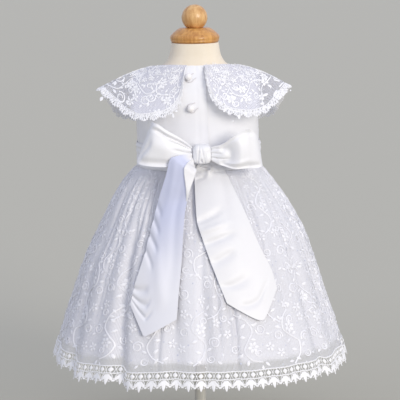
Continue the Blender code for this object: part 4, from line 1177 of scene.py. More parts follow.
def sequin_shape():
    """The sequins of one sprig, in metres: thin round plates with six sides."""
    parts = [leaf(x, y, 0, 2.4, 2.4, 0.5, stations=3) for x, y in SPRIG_SEQUINS]
    points, quads, triangles = join(parts)
    return points * 0.001 + (0, 0, 0.0002), quads, triangles


def sprig_places(start):
    """Places of the sprigs on half a turn of the skirt: rounds at even steps, shifted, turned, mirrored."""
    rng = np.random.default_rng(int(start * 10) + 3)
    places = []
    for height, count, first, size in SPRIG_ROUNDS:
        step = math.pi / count
        for place in range(count):
            angle = start + step * (place + 0.5 + 0.5 * (first - 0.5) * 0.6)
            turn = rng.uniform(-0.30, 0.30) + (math.pi if (place + int(first * 10)) % 3 == 1 else 0)
            mirror = -1 if place % 2 else 1
            places.append((angle, height + rng.uniform(-0.004, 0.004), turn, size, mirror))
    return places


def lace_motif(pitch):
    """One hem motif in millimetres, depths as minus: three leaves from one root, dots at their tips, bars."""
    middle = pitch / 2
    parts = [
        leaf(middle, -18.0, 90, 13.0, 5.0, 1.3, stations=8),
        leaf(middle - 3.7, -15.8, 48, 10.5, 4.2, 1.3, stations=7),
        leaf(middle + 3.7, -15.8, 132, 10.5, 4.2, 1.3, stations=7),
        leaf(middle, -12.2, 0, 7.6, 2.2, 1.3),
    ]
    for x, y in ((0, -24.0), (-7.3, -20.3), (7.3, -20.3), (-3.9, -20.6), (3.9, -20.6)):
        parts.append(leaf(middle + x, y, 0, 1.8, 1.8, 1.2, stations=4))
    parts.append(thread(((-1.6, -16.6), (0.0, -17.2), (1.6, -16.6)), 1.1, 1.0, sides=4))
    parts.append(leaf(0, -19.4, 90, 3.0, 1.8, 1.1, stations=4))
    parts.append(thread(((-4.2, -10.8), (-2.2, -13.0), (-1.4, -15.8)), 1.0, 1.0, sides=4))
    parts.append(thread(((4.2, -10.8), (2.2, -13.0), (1.4, -15.8)), 1.0, 1.0, sides=4))
    return join(parts)


def lace_on(surface, shape, starts, pitch_angle, pitch, top):
    """Copies of a lace shape in millimetres on a surface: its x becomes an angle, and its y a height."""
    x = shape[0][None, :, 0] / pitch * pitch_angle
    angle = np.asarray(starts)[:, None] + x
    height = top + shape[0][None, :, 1] * 0.001 + np.zeros_like(angle)
    points = raised(surface, angle, height, shape[0][None, :, 2] * 0.001 + np.zeros_like(angle))
    return copies(points, shape, np.zeros(len(points), dtype=bool))


class DressSizes(bpy.types.PropertyGroup):
    """Sizes that a user would change."""

    satin_wall: bpy.props.FloatProperty(
        name="Satin", description="Thickness of the satin pieces", default=0.0006, min=0.0002, max=0.002,
        subtype="DISTANCE", unit="LENGTH", precision=4,
    )
    net_wall: bpy.props.FloatProperty(
        name="Net", description="Thickness of the tulle", default=0.0004, min=0.0002, max=0.002,
        subtype="DISTANCE", unit="LENGTH", precision=4,
    )
    net_cell: bpy.props.FloatProperty(
        name="Net mesh", description="Distance between the holes of the net", default=0.0013, min=0.0008,
        max=0.006, subtype="DISTANCE", unit="LENGTH", precision=4,
    )
    net_openness: bpy.props.FloatProperty(
        name="Openness", description="How see-through the middle of each hole is", default=0.92, min=0.0,
        max=1.0, subtype="FACTOR",
    )
    stitch_spacing: bpy.props.FloatProperty(
        name="Stitches", description="Distance between threads of the satin stitch", default=0.0006,
        min=0.0002, max=0.002, subtype="DISTANCE", unit="LENGTH", precision=4,
    )
    pearl_radius: bpy.props.FloatProperty(
        name="Pearl", description="Radius of the pearl buttons", default=0.0048, min=0.003, max=0.006,
        subtype="DISTANCE", unit="LENGTH", precision=4,
    )


class DressColours(bpy.types.PropertyGroup):
    """Colours that a user would change."""

    satin: bpy.props.FloatVectorProperty(
        name="Satin", description="Colour of the satin", default=linear("#F8F8F9"), min=0, max=1,
        subtype="COLOR",
    )
    # The lining's off-white is deepened to a greyer blue: partly its own colour, partly painted shade of the
    # ground under the net
    lining: bpy.props.FloatVectorProperty(
        name="Lining", description="Colour of the lining", default=linear("#EAEAEF"), min=0, max=1,
        subtype="COLOR",
    )
    net: bpy.props.FloatVectorProperty(
        name="Net", description="Colour of the tulle", default=linear("#F1F1F6"), min=0, max=1,
        subtype="COLOR",
    )
    stitches: bpy.props.FloatVectorProperty(
        name="Embroidery", description="Colour of the embroidery", default=linear("#F4F4F8"), min=0, max=1,
        subtype="COLOR",
    )
    lace: bpy.props.FloatVectorProperty(
        name="Lace", description="Colour of the lace", default=linear("#F7F7F9"), min=0, max=1,
        subtype="COLOR",
    )
    jersey: bpy.props.FloatVectorProperty(
        name="Form", description="Colour of the form's jersey", default=linear("#FBF1DF"), min=0, max=1,
        subtype="COLOR",
    )
    wood: bpy.props.FloatVectorProperty(
        name="Wood", description="Lighter colour of the wood", default=linear("#DFA75C"), min=0, max=1,
        subtype="COLOR",
    )
    floor: bpy.props.FloatVectorProperty(
        name="Floor", description="Colour of the studio paper", default=linear("#B4B2A8"), min=0, max=1,
        subtype="COLOR",
    )


class DRESS_OT_form(bpy.types.Operator):
    """Adds the padded form, its turned cap, ball, pole and base"""

    bl_idname = "baby_dress.form"
    bl_label = "Form and stand"

    def execute(self, context):
        colours = context.scene.dress_colours
        jersey = knitted_jersey("cotton_jersey_knitted", tuple(colours.jersey), linear("#F0E2CA"))
        wood = turned_beech("beech_turned_varnished", tuple(colours.wood), linear("#AA6B2C"))
        pale_wood = turned_beech("beech_turned_waxed", linear("#E9BC7E"), linear("#B87F42"))
        grey_wood = turned_beech("beech_turned_stained_grey", linear("#D5D3CA"), linear("#BFBDB4"))
        angle = np.linspace(0, 2 * math.pi, FORM_COLUMNS, endpoint=False)[None, :]
        stretches = ((FORM_BOTTOM, 0.18, 10), (0.185, 0.44, 30), (0.443, FORM_TOP, 44))
        height = np.concatenate([np.linspace(*stretch) for stretch in stretches])
        rings = closed_rings(form_surface(angle, height[:, None]), (0, 0, FORM_BOTTOM), (0, 0, FORM_TOP))
        shares = ring_shares(np.linspace(0, 0.48, FORM_COLUMNS), height)
        mesh = make_mesh("padded_torso", *rings, shares)
        torso = add_piece("padded_torso", mesh, jersey, ("form_torso",))

        share = np.linspace(0, 1, 40)
        (width,) = table_columns(CAP_OUTLINE, share)
        for place, half_width, depth in CAP_GROOVES:
            width = width - depth * np.exp(-(((share - place) / half_width) ** 2))
        heights = CAP_TOP + (CAP_BOTTOM - CAP_TOP) * share
        self.turn("turned_cap", CAP_RADIUS * width, heights, FORM_LIFT, wood, "neck_cap")
        foot = math.asin((BALL_CENTRE - CAP_TOP - SEAT_GAP) / BALL_RADIUS)
        bend = np.linspace(math.pi / 2 - 0.02, -foot, 32)
        heights = BALL_CENTRE + BALL_RADIUS * np.sin(bend)
        self.turn("turned_ball", BALL_RADIUS * np.cos(bend), heights, FORM_LIFT, pale_wood, "finial_ball")
        pole_top = FORM_LIFT + FORM_BOTTOM - SEAT_GAP
        pole_foot = BASE_THICKNESS + SEAT_GAP
        heights = [pole_top, pole_top - POLE_BEVEL, POLE_MIDDLE, pole_foot + POLE_BEVEL, pole_foot]
        end = POLE_RADIUS - POLE_BEVEL
        radii = [end, POLE_RADIUS, POLE_RADIUS, POLE_RADIUS, end]
        self.turn("turned_pole", radii, heights, 0.0, grey_wood, "stand_pole")
        bend = np.linspace(math.pi / 2, 0, 10)
        set_in, set_up = BASE_FOOT
        rim = BASE_RADIUS + BASE_ROUNDING * (np.cos(bend) - 1)
        radii = np.concatenate([BASE_TOP_RINGS, rim, [BASE_RADIUS, BASE_RADIUS - set_in]])
        rim = BASE_THICKNESS + BASE_ROUNDING * (np.sin(bend) - 1)
        heights = np.concatenate([[BASE_THICKNESS] * len(BASE_TOP_RINGS), rim, [set_up, 0.0]])
        self.turn("turned_base", radii, heights, 0.0, grey_wood, "stand_base")
        return {"FINISHED"}

    def turn(self, name, radii, heights, lift, material, replaced):
        """A solid of revolution: a profile of radius and height, top to bottom, carried round a full turn."""
        angle = np.linspace(0, 2 * math.pi, TURNED_COLUMNS, endpoint=False)
        radii, heights = np.asarray(radii)[::-1, None], np.asarray(heights)[::-1, None]
        points = np.stack(np.broadcast_arrays(radii * np.cos(angle), radii * np.sin(angle), heights), axis=-1)
        rings = closed_rings(points, (0, 0, heights[0, 0]), (0, 0, heights[-1, 0]))
        add_piece(name, make_mesh(name, *rings, lift=lift), material, (replaced,))


class DRESS_OT_bodice(bpy.types.Operator):
    """Adds the satin bodice: the front, and two backs that lap at the centre back"""

    bl_idname = "baby_dress.bodice"
    bl_label = "Bodice"

    def execute(self, context):
        sizes, colours = context.scene.dress_sizes, context.scene.dress_colours
        satin = woven_satin("polyester_satin_woven", tuple(colours.satin), linear("#F0F0F4"))
        seam = SIDE_SEAM / CHEST_WIDTH
        back_depth = CHEST_DEPTH + BODICE_OFFSET
        over_edge = 1.5 * math.pi + PLACKET_EDGE_X / back_depth
        under_edge = 1.5 * math.pi + UNDERLAP_EDGE_X / back_depth
        self.panel("bodice_front", seam, math.pi - seam, 0, 1, 1, (0.262, 0.132), satin)
        self.panel("bodice_back_left", math.pi + seam, over_edge, under_edge, 1, 0, (0.150, 0.136), satin)
        self.panel("bodice_back_right", under_edge, 2 * math.pi - seam, 0, 0, 1, (0.142, 0.136), satin)
        self.binding(satin)
        stitched = stitched_thread("rayon_satin_stitch", tuple(colours.stitches), sizes.stitch_spacing)
        places = [
            (math.radians(angle), height, math.radians(turn), size, -1 if place % 2 else 1)
            for place, (angle, height, turn, size) in enumerate(BODICE_SPRIGS)
        ]

        def satin_surface(angle, height):
            return raised(form_surface, angle, height, BODICE_OFFSET)

        mesh = make_mesh("bodice_front_embroidery", *lay_on(satin_surface, sprig_shape(), places))
        add_piece("bodice_front_embroidery", mesh, stitched)
        return {"FINISHED"}

    def binding(self, satin):
        """The folded binding of the neckline: a flat oval thread along it, from back edge to back edge."""
        back_depth = CHEST_DEPTH + BODICE_OFFSET
        angle = np.linspace(1.5 * math.pi + PLACKET_EDGE_X / back_depth, 3.5 * math.pi - 0.04, BINDING_POINTS)

        def edge(place, height):
            round_it = angle[0] + (angle[-1] - angle[0]) * place
            height = neckline_height(round_it) + height
            return raised(form_surface, round_it, height, BODICE_OFFSET - SEAT_GAP)

        along = np.linspace(0, BINDING_LENGTH, BINDING_POINTS)
        line = np.stack([along, np.full(BINDING_POINTS, -0.0011)], axis=-1)
        shape = thread(line, *BINDING_SIZE, sides=8)
        points = raised(edge, shape[0][:, 0] / BINDING_LENGTH, shape[0][:, 1], shape[0][:, 2])
        add_piece("neck_binding", make_mesh("neck_binding", points, shape[1], shape[2]), satin)

    def panel(self, node_name, start, end, lap_from, swing_start, swing_end, flat, satin):
        """A panel over the form between two angles, from waist to neckline.

        Its side edges swing in as a sine round the armhole. From an angle on, it is
        lifted on to the panel under it. Two sines make the cloth ripple at the waist.
        """
        wall = bpy.context.scene.dress_sizes.satin_wall
        columns = int(100 * (end - start) / math.pi) + 1
        rise = np.linspace(0, 1, 64)[:, None]
        share = np.linspace(0, 1, columns)[None, :]
        rough = WAIST_HEIGHT + (NECK_SIDE_HEIGHT - WAIST_HEIGHT) * rise
        turn = np.clip((rough - ARMHOLE_BOTTOM) / (ARMHOLE_TOP - ARMHOLE_BOTTOM), 0, 1)
        swing = ARMHOLE_SWING * np.sin(math.pi * turn)
        first, last = start + swing_start * swing, end - swing_end * swing
        angle = first + (last - first) * share
        height = WAIST_HEIGHT + (neckline_height(angle) - WAIST_HEIGHT) * rise
        lift = np.full(angle.shape, BODICE_OFFSET)
        if lap_from:
            ramp = smooth_step(angle, lap_from - PLACKET_RAMP, lap_from - 0.4 * PLACKET_RAMP)
            lift = lift + PLACKET_LIFT * ramp
            # The stitched line of the placket's facing shows as a soft dent, and its edge stands out a little
            lift = lift - PLACKET_DENT * np.exp(-(((angle - last + 0.16) / 0.012) ** 2))
            lift = lift + PLACKET_EDGE_RISE * smooth_step(angle, last - 0.03, last)
        ripple = np.sin(angle * 23 + height * 60) * np.sin(height * 75 + 1.0)
        ripple = ripple * smooth_step(-height, -0.44, -0.36)
        lift = lift + RIPPLE_DEPTH * ripple - RIPPLE_DEPTH
        grid = raised(form_surface, angle, height, lift)
        item = cloth_piece(node_name + "_satin", grid, wall, satin, (node_name,))


class DRESS_OT_buttons(bpy.types.Operator):
    """Adds the two pearl buttons and their thread loops"""

    bl_idname = "baby_dress.buttons"
    bl_label = "Buttons and loops"

    def execute(self, context):
        radius = context.scene.dress_sizes.pearl_radius
        pearl = moulded_pearl("pearlised_plastic_moulded", linear("#FAF8F8"))
        # The loops are real thread, coloured greyer than the other whites: painted shadow round each pearl
        cord = lace_thread("cotton_thread_twisted", linear("#DEDBDD"))
        seat = BODICE_OFFSET + PLACKET_LIFT
        for place, (x, height) in zip(("upper", "lower"), BUTTONS):
            name = "pearl_" + place
            angle = 1.5 * math.pi + x / (CHEST_DEPTH + BODICE_OFFSET)
            centre = raised(form_surface, np.array(angle), np.array(height), seat + 0.0004 + radius)
            # A globe of rings from pole to pole, flattened by a twentieth towards the cloth
            turn = np.linspace(0, 2 * math.pi, 40, endpoint=False)[None, :]
            bend = np.linspace(-math.pi / 2, math.pi / 2, 22)[1:-1, None]
            axes = (np.cos(bend) * np.cos(turn), 0.95 * np.cos(bend) * np.sin(turn), np.sin(bend))
            ball = np.stack(np.broadcast_arrays(*axes), axis=-1)
            points, quads, triangles = closed_rings(ball, (0, 0, -1), (0, 0, 1))
            mesh = make_mesh(name, points * radius + centre, quads, triangles)
            add_piece(name, mesh, pearl, ("button_" + place,))

            # The loop runs from the placket's edge round the pearl's foot and back
            share = np.linspace(-2.45, 2.45, 30) + math.pi
            half_width, half_height, shift = LOOP_OVAL
            line = np.stack([half_width * np.cos(share) + shift, half_height * np.sin(share)], axis=-1)
            line[[0, -1], 0] += LOOP_END
            shape = thread(line, LOOP_THREAD, LOOP_THREAD, sides=6)

            def placket(a, b):
                return raised(form_surface, a, b, seat + 0.0002)

            mesh = make_mesh(name + "_loop", *lay_on(placket, shape, [(angle, height, 0.5, 1.0, 1)]))
            add_piece(name + "_loop", mesh, cord)
        return {"FINISHED"}


class DRESS_OT_skirt(bpy.types.Operator):
    """Adds the tulle skirt with its embroidery and sequins, and the satin lining under it"""

    bl_idname = "baby_dress.skirt"
    bl_label = "Skirt and lining"

    def execute(self, context):
        sizes, colours = context.scene.dress_sizes, context.scene.dress_colours
        net = hexagon_net("polyester_net_bobbin", tuple(colours.net), sizes.net_openness, sizes.net_cell)
        # The lining's colour carries painted shade of the ground seen through the net
        lining = woven_satin("lining_satin_woven", tuple(colours.lining), linear("#E0E0E7"))
        stitched = stitched_thread("rayon_vine_stitch", tuple(colours.stitches), sizes.stitch_spacing)
        sequin = cut_sequin("pearl_film_stamped", linear("#F6F4FA"))
        seam = SIDE_SEAM / SKIRT_ROWS[0][1]
        for side, start in (("front", 0.0), ("back", math.pi)):
            angle = np.linspace(start + seam, start + math.pi - seam, 300)[None, :]
            stretches = ((LACE_TOP_HEIGHT - TULLE_LAP, GATHER_FULL, 60), (0.3325, SKIRT_TOP, 12))
            height = np.concatenate([np.linspace(*stretch) for stretch in stretches])[:, None]
            item = cloth_piece(
                "tulle_" + side, tulle_surface(angle, height), sizes.net_wall, net,
                ("skirt_tulle_" + side,),
            )
            set_attribute(item, "layers", self.layers(angle, height))
            places = sprig_places(start)
            mesh = make_mesh("embroidery_" + side, *lay_on(tulle_surface, sprig_shape(), places))
            vines = add_piece("embroidery_" + side, mesh, stitched)
            mesh = make_mesh("sequins_" + side, *lay_on(tulle_surface, sequin_shape(), places))
            glints = add_piece("sequins_" + side, mesh, sequin)

            angle = np.linspace(start + seam, start + math.pi - seam, 200)[None, :]
            height = np.linspace(LINING_HEM_HEIGHT, SKIRT_TOP, 65)[:, None]
            item = cloth_piece(
                "lining_" + side, lining_surface(angle, height), sizes.satin_wall, lining,
                ("skirt_lining_" + side,),
            )
        return {"FINISHED"}

    def layers(self, angle, height):
        """1 over the lining and -0.3 below its hem, with more on the fold of the net at the back.

        Beside that fold, where the net lies single, it is a little less.
        """
        degrees = np.degrees(angle) % 360
        edge = 271.0 + 1.5 * skirt_fall(height)
        past_edge = smooth_step(degrees, edge - 0.5, edge + 0.1)
        folded = smooth_step(degrees, edge - 13.5, edge - 12.5) * (1 - past_edge)
        thinner = past_edge * (1 - smooth_step(degrees, edge + 12, edge + 15))
        folds = 0.35 * folded * smooth_step(-height, -0.27, -0.23)
        folds = folds - 0.25 * thinner * smooth_step(-height, -0.24, -0.20)
        over_lining = smooth_step(height, LINING_HEM_HEIGHT - 0.0012, LINING_HEM_HEIGHT)
        return (1.3 + folds) * over_lining - 0.3


class DRESS_OT_hem_lace(bpy.types.Operator):
    """Adds the wide hem lace: two cords, a row of beads between crossed bars, and three-leaved motifs"""

    bl_idname = "baby_dress.hem_lace"
    bl_label = "Hem lace"

    def execute(self, context):
        lace = lace_thread("polyester_chemical_lace", tuple(context.scene.dress_colours.lace))
        pitch = LACE_PITCH
        for side, start in (("front", 0.0), ("back", math.pi)):
            seam = SIDE_SEAM / SKIRT_ROWS[-1][1]
            first, span = start + seam, math.pi - 2 * seam
            step = span / LACE_REPEATS
            starts = first + step * np.arange(LACE_REPEATS)
            motifs = lace_on(skirt_surface, lace_motif(pitch), starts, step, pitch, LACE_TOP_HEIGHT)
            length = pitch * LACE_REPEATS
            x = np.linspace(0.3, length - 0.3, 6 * LACE_REPEATS + 1)
            upper = np.stack([x, -0.9 - 0.25 * np.cos(2 * math.pi * x / 7)], axis=-1)
            lower = np.stack([x, -10.3 - 0.35 * np.cos(2 * math.pi * x / pitch)], axis=-1)
            cords = [thread(upper, 1.6, 1.5, sides=5), thread(lower, 1.5, 1.4, sides=5)]
            cords = lace_on(skirt_surface, join(cords), [first], step, pitch, LACE_TOP_HEIGHT)
            dot_step = span / LACE_DOT_COUNT
            dot_pitch = length / LACE_DOT_COUNT
            beads = join([
                leaf(dot_pitch / 2, -5.6, 0, 6.6, 5.6, 2.2, stations=8),
                thread(((dot_pitch / 2, -1.2), (dot_pitch / 2, -3.4)), 1.0, 0.9, sides=4),
                thread(((dot_pitch / 2, -7.8), (dot_pitch / 2, -9.9)), 1.0, 0.9, sides=4),
            ])
            bars = join([
                thread(((-2.2, -1.2), (-0.2, -5.2), (-2.0, -9.9)), 0.8, 0.8, sides=4),
                thread(((2.2, -1.2), (0.2, -5.2), (2.0, -9.9)), 0.8, 0.8, sides=4),
                leaf(0.0, -5.4, 0, 2.2, 2.2, 1.2, stations=4),
            ])
            dots = first + dot_step * np.arange(LACE_DOT_COUNT)
            beads = lace_on(skirt_surface, beads, dots, dot_step, dot_pitch, LACE_TOP_HEIGHT)
            bars = lace_on(skirt_surface, bars, dots[1:-1], dot_step, dot_pitch, LACE_TOP_HEIGHT)
            mesh = make_mesh("lace_" + side, *join([motifs, cords, beads, bars]))
            add_piece("lace_" + side, mesh, lace, ("hem_lace_" + side,))
        return {"FINISHED"}


class DRESS_OT_collar(bpy.types.Operator):
    """Adds the cape collar: two halves of embroidered tulle with a picot lace edge"""

    bl_idname = "baby_dress.collar"
    bl_label = "Collar"

    def execute(self, context):
        sizes, colours = context.scene.dress_sizes, context.scene.dress_colours
        # The collar's net is painted greyer and its thread whiter than the skirt's: painted shade on the net
        # between the cords and a painted highlight on the thread
        net = hexagon_net("polyester_net_collar", linear("#E9E9F1"), sizes.net_openness, sizes.net_cell)
        stitched = stitched_thread("rayon_collar_stitch", linear("#FDFDFE"), sizes.stitch_spacing)
        lace = lace_thread("polyester_picot_lace", tuple(colours.lace))
        for side, surface, way in (("left", collar_left, -1), ("right", collar_right, 1)):
            along = np.linspace(0, 1, 201) if way > 0 else np.linspace(-1, 0, 201)
            length = collar_length(surface, along)
            end = (COLLAR_LACE_WIDTH + SEAT_GAP) / length
            grid = surface(along[None, :], end + (1 - end) * np.linspace(0, 1, 36)[:, None])
            item = cloth_piece(
                "collar_net_" + side, grid, sizes.net_wall, net, ("collar_" + side,)
            )
            # Past the shoulders nothing white lies under the net, and its holes are stretched open
            set_attribute(item, "layers", 1 - 1.6 * smooth_step(np.abs(grid[..., 0]), 0.080, 0.092))
            places = []
            for place, (at, reach, turn, size) in enumerate(COLLAR_SPRIGS):
                places.append((way * at, 1 - reach, math.radians(turn), size, way * (-1 if place % 2 else 1)))
            mesh = make_mesh("collar_embroidery_" + side, *lay_on(surface, sprig_shape(), places))
            vines = add_piece("collar_embroidery_" + side, mesh, stitched)
            picots = self.picots(surface, way)
            edging = add_piece("picot_lace_" + side, picots, lace, ("collar_lace_" + side,))
        return {"FINISHED"}

    def picots(self, surface, way):
        """The picot lace: cords, dots, scallops, petals and knots, laid in millimetres back from the edge.

        The scallops follow the sine of half a turn a motif, and the petals and knots
        are scattered round their even places.
        """
        rng = np.random.default_rng(PICOT_SEED)
        pitch = PICOT_PITCH
        whole = pitch * COLLAR_MOTIFS
        x = np.linspace(0.1, whole - 0.1, 10 * COLLAR_MOTIFS + 1)
        arch = np.abs(np.sin(math.pi * x / pitch))
        shapes = [
            thread(np.stack([x, np.full_like(x, -0.6)], axis=-1), 1.2, 1.2, sides=4),
            thread(np.stack([x, -3.9 - 0.3 * np.cos(2 * math.pi * x / 5)], axis=-1), 1.2, 1.2, sides=4),
            thread(np.stack([x, -4.3 - 3.6 * arch**0.7], axis=-1), 1.1, 1.2, sides=4),
        ]
        for at in np.arange(2.0, whole - 1.0, 4.0):
            shapes.append(leaf(at + rng.uniform(-0.4, 0.4), -2.3, 0, 2.9, 2.6, 1.4, stations=4))
            shapes.append(thread(((at + 2.0, -0.6), (at + 2.2, -3.9)), 0.9, 0.9, sides=3))
        for at in pitch * (np.arange(COLLAR_MOTIFS) + 0.5):
            for away, reach, size in PICOT_PETALS:
                turn = 90 + 9 * away + rng.uniform(-14, 14)
                place = (at + away + rng.uniform(-0.4, 0.4), reach + rng.uniform(-0.4, 0.4))
                shapes.append(leaf(*place, turn, size, 1.9, rng.uniform(1.0, 2.0)))
            for away, reach in PICOT_KNOTS:
                knot = rng.uniform(1.1, 2.0)
                shapes.append(leaf(at + away, reach + rng.uniform(-0.4, 0.3), 0, knot, knot, 1.2, stations=4))
        shape = join(shapes)
        share = shape[0][None, :, 0] / whole
        along = share if way > 0 else share - 1
        rise = (COLLAR_LACE_WIDTH + shape[0][None, :, 1] * 0.001) / collar_length(surface, along)
        points = raised(surface, along, rise, shape[0][None, :, 2] * 0.001)
        return make_mesh("picot_lace", *copies(points, shape, [False]))


class DRESS_OT_sash(bpy.types.Operator):
    """Adds the satin sash round the waist"""

    bl_idname = "baby_dress.sash"
    bl_label = "Sash"

    def execute(self, context):
        satin = woven_satin("sash_satin_woven", tuple(context.scene.dress_colours.satin), linear("#F0F0F4"))
        angle = np.linspace(0, 2 * math.pi, 240, endpoint=False)[None, :]
        share = np.linspace(0, 1, 22)[:, None]
        height = SASH_BOTTOM + (SASH_TOP - SASH_BOTTOM) * share
        # Lengthwise folds: three rolls that wander up and down round the waist
        wander = 0.05 * np.sin(angle * 2 + 0.6) + 0.03 * np.sin(angle * 5)
        rolls = 0.5 + 0.5 * np.cos(2 * math.pi * SASH_ROLLS * (share + wander))
        # Its long edges turn in against the bodice, less at the back, where the placket lies under it
        room = 0.0018 - 0.0012 * smooth_step(-np.sin(angle), 0.4, 0.9)
        turned_in = room * (smooth_step(share, 0.84, 1.0) + smooth_step(-share, -0.10, 0.0))
        sunk = SASH_ROLL_DEPTH * (1 - rolls) * (turned_in < 1e-6)
        grid = raised(form_surface, angle, height, SASH_OFFSET - sunk - turned_in)
        wall = context.scene.dress_sizes.satin_wall
        item = cloth_piece("sash_satin", grid, wall, satin, ("sash_band",), around=True)
        return {"FINISHED"}


class DRESS_OT_bow(bpy.types.Operator):
    """Adds the bow: two loops, the knot and two tails"""

    bl_idname = "baby_dress.bow"
    bl_label = "Bow"

    def execute(self, context):
        wall = context.scene.dress_sizes.satin_wall
        satin = woven_satin("bow_satin_woven", tuple(context.scene.dress_colours.satin), linear("#F1F1F5"))
        # The tails' satin is painted a little darker than the loops': painted shade that keeps their creases
        # from washing out in the light
        shaded_tail_satin = tuple(0.92 * part for part in context.scene.dress_colours.satin)
        # The last colour is the left tail's painted shade, cooler and darker
        tail_satin = woven_satin("tail_satin_woven", shaded_tail_satin, linear("#E9E8EA"), linear("#D6DAF0"))
        loops = (
            ("left", LOOP_LEFT_ROWS, LOOP_LEFT_CREASES, -1),
            ("right", LOOP_RIGHT_ROWS, LOOP_RIGHT_CREASES, 1),
        )
        for side, rows, creases, way in loops:
            def surface(a, b):
                return loop_points(rows, a * way, b)

            along = np.linspace(0, 1, 170) if way > 0 else np.linspace(-1, 0, 170)
            across = np.linspace(0, 1, 48)[:, None]
            lift = crease_lift(creases, along * way, across, LOOP_LENGTH, LOOP_HEIGHT)
            if side == "right":
                lift = lift + arch_lift(LOOP_RIGHT_ARCHES, across, along, LOOP_HEIGHT, LOOP_LENGTH)
            # Gathers fan out of the knot at both ends
            near = np.exp(-np.abs(along) / 0.05) + np.exp(-(1 - np.abs(along)) / 0.05)
            lift = lift - 0.0012 * near * (0.5 + 0.5 * np.cos(2 * math.pi * (3.5 * across + 0.15)))
            grid = raised(surface, along[None, :], across, lift)
            item = cloth_piece("loop_" + side, grid, wall, satin, ("bow_loop_" + side,))

        tails = (
            ("left", TAIL_LEFT_ROWS, TAIL_LEFT_POINT, TAIL_LEFT_TIP, TAIL_LEFT_CREASES),
            ("right", TAIL_RIGHT_ROWS, TAIL_RIGHT_POINT, TAIL_RIGHT_TIP, TAIL_RIGHT_CREASES),
        )
        for side, rows, point_place, tip_round, creases in tails:
            def surface(a, b):
                return tail_points(rows, point_place, tip_round, a, 1 - b)

            across = np.linspace(0, 1, 80)[None, :]
            down = np.linspace(1, 0, 160)[:, None]
            lift = crease_lift(creases, across, down, TAIL_WIDTH, TAIL_LENGTH)
            lift = lift + self.strip(side, across, down)
            near = np.exp(-down / 0.06)
            lift = lift - 0.0008 * near * (0.5 + 0.5 * np.cos(2 * math.pi * 3 * across))
            grid = raised(surface, across, 1 - down, lift)
            item = cloth_piece("tail_" + side, grid, wall, tail_satin, ("bow_tail_" + side,))
            if side == "left":
                # Painted shade: its upper part goes over to the cooler, darker colour, less lower down and by
                # the rippled left edge below the middle, and not on the folded-over strip
                edge = self.strip_edge(down)
                folded = smooth_step(across, edge - 0.02, edge) * (down < 0.42)
                painted_shade_share = smooth_step(down, 0.02, 0.10) * (1 - 0.75 * smooth_step(down, 0.42, 0.80))
                rippled = 1 - 0.45 * (1 - smooth_step(across, 0.05, 0.35)) * smooth_step(down, 0.35, 0.55)
                set_attribute(item, "painted_shade", painted_shade_share * rippled * (1 - folded))
        self.knot(satin)
        return {"FINISHED"}

    def strip(self, side, across, down):
        """A rounded middle, and the left tail's right edge folded over: a strip that narrows to a point.

        The cloth left of the strip slopes up towards it, so that it faces left.
        """
        crown = 0.0012 * np.sin(math.pi * across) * smooth_step(down, 0.05, 0.3)
        settled = 0.0025 * smooth_step(down, 0.55, 0.95)
        if side == "right":
            return crown - settled
        sloping = smooth_step(down, 0.08, 0.18)
        tilt = STRIP_SLOPE * (across - 0.10) * sloping * (1 - smooth_step(down, 0.44, 0.74))
        edge = self.strip_edge(down)
        held = 1 - smooth_step(down, 0.33, 0.44)
        strip = STRIP_RISE * smooth_step(across, edge - 0.025, edge) * held
        flatter = STRIP_SLOPE * np.maximum(across - edge, 0) * sloping * held
        return crown - settled + tilt + strip - flatter

    def strip_edge(self, down):
        """Place across the left tail where its folded-over strip begins."""
        return 0.55 + 0.43 * smooth_step(down, 0.16, 0.44)

    def knot(self, satin):
        """The knot: a rounded box with upright wraps, a deep fold left of its middle and two hollows.

        Its outlines seen from above and from the side are superellipses, read at even
        steps of their own length. Each fold is a bell-shaped dent across a leaning line,
        and each hollow is a bell both ways.
        """
        turned, deep = self.rounded(0, 2 * math.pi, 121)
        girth, rise = self.rounded(-0.5 * math.pi, 0.5 * math.pi, 62)
        turned, deep = turned[None, :-1], deep[None, :-1]
        girth, rise = girth[1:-1, None], rise[1:-1, None]
        sideways = turned * girth
        dent = np.zeros(sideways.shape)
        for place, lean, half_width, depth, fade in KNOT_FOLDS:
            away = sideways - place - lean * rise
            fold = depth * np.exp(-((away / half_width) ** 2))
            dent = dent + fold * (1 - fade * smooth_step(rise, -0.7, -1.0))
        for place, up, half_width, half_height, depth in KNOT_HOLLOWS:
            away = ((sideways - place) / half_width) ** 2 + ((rise - up) / half_height) ** 2
            dent = dent + depth * np.exp(-away)
        size = 1 - dent * smooth_step(-deep * girth, 0.0, 0.5)
        shape = np.stack(np.broadcast_arrays(sideways, deep * girth * size, rise + 0 * size), axis=-1)
        points = shape * KNOT_HALF + KNOT_CENTRE
        half_height = np.array([0, 0, KNOT_HALF[2]])
        rings = closed_rings(points, KNOT_CENTRE - half_height, KNOT_CENTRE + half_height)
        shares = ring_shares(np.linspace(0, 0.08, points.shape[1]), np.linspace(0, 0.04, points.shape[0]))
        item = add_piece("knot", make_mesh("knot", *rings, shares), satin, ("bow_knot",))

    def rounded(self, start, end, count):
        """Both coordinates of a squarish superellipse between two angles, at even steps of its length."""
        turn = np.linspace(start, end, 4001)
        wide = np.sign(np.cos(turn)) * np.abs(np.cos(turn)) ** KNOT_ROUNDNESS
        tall = np.sign(np.sin(turn)) * np.abs(np.sin(turn)) ** KNOT_ROUNDNESS
        length = np.concatenate([[0], np.cumsum(np.hypot(np.diff(wide), np.diff(tall)))])
        even = np.linspace(0, length[-1], count)
        return np.interp(even, length, wide), np.interp(even, length, tall)


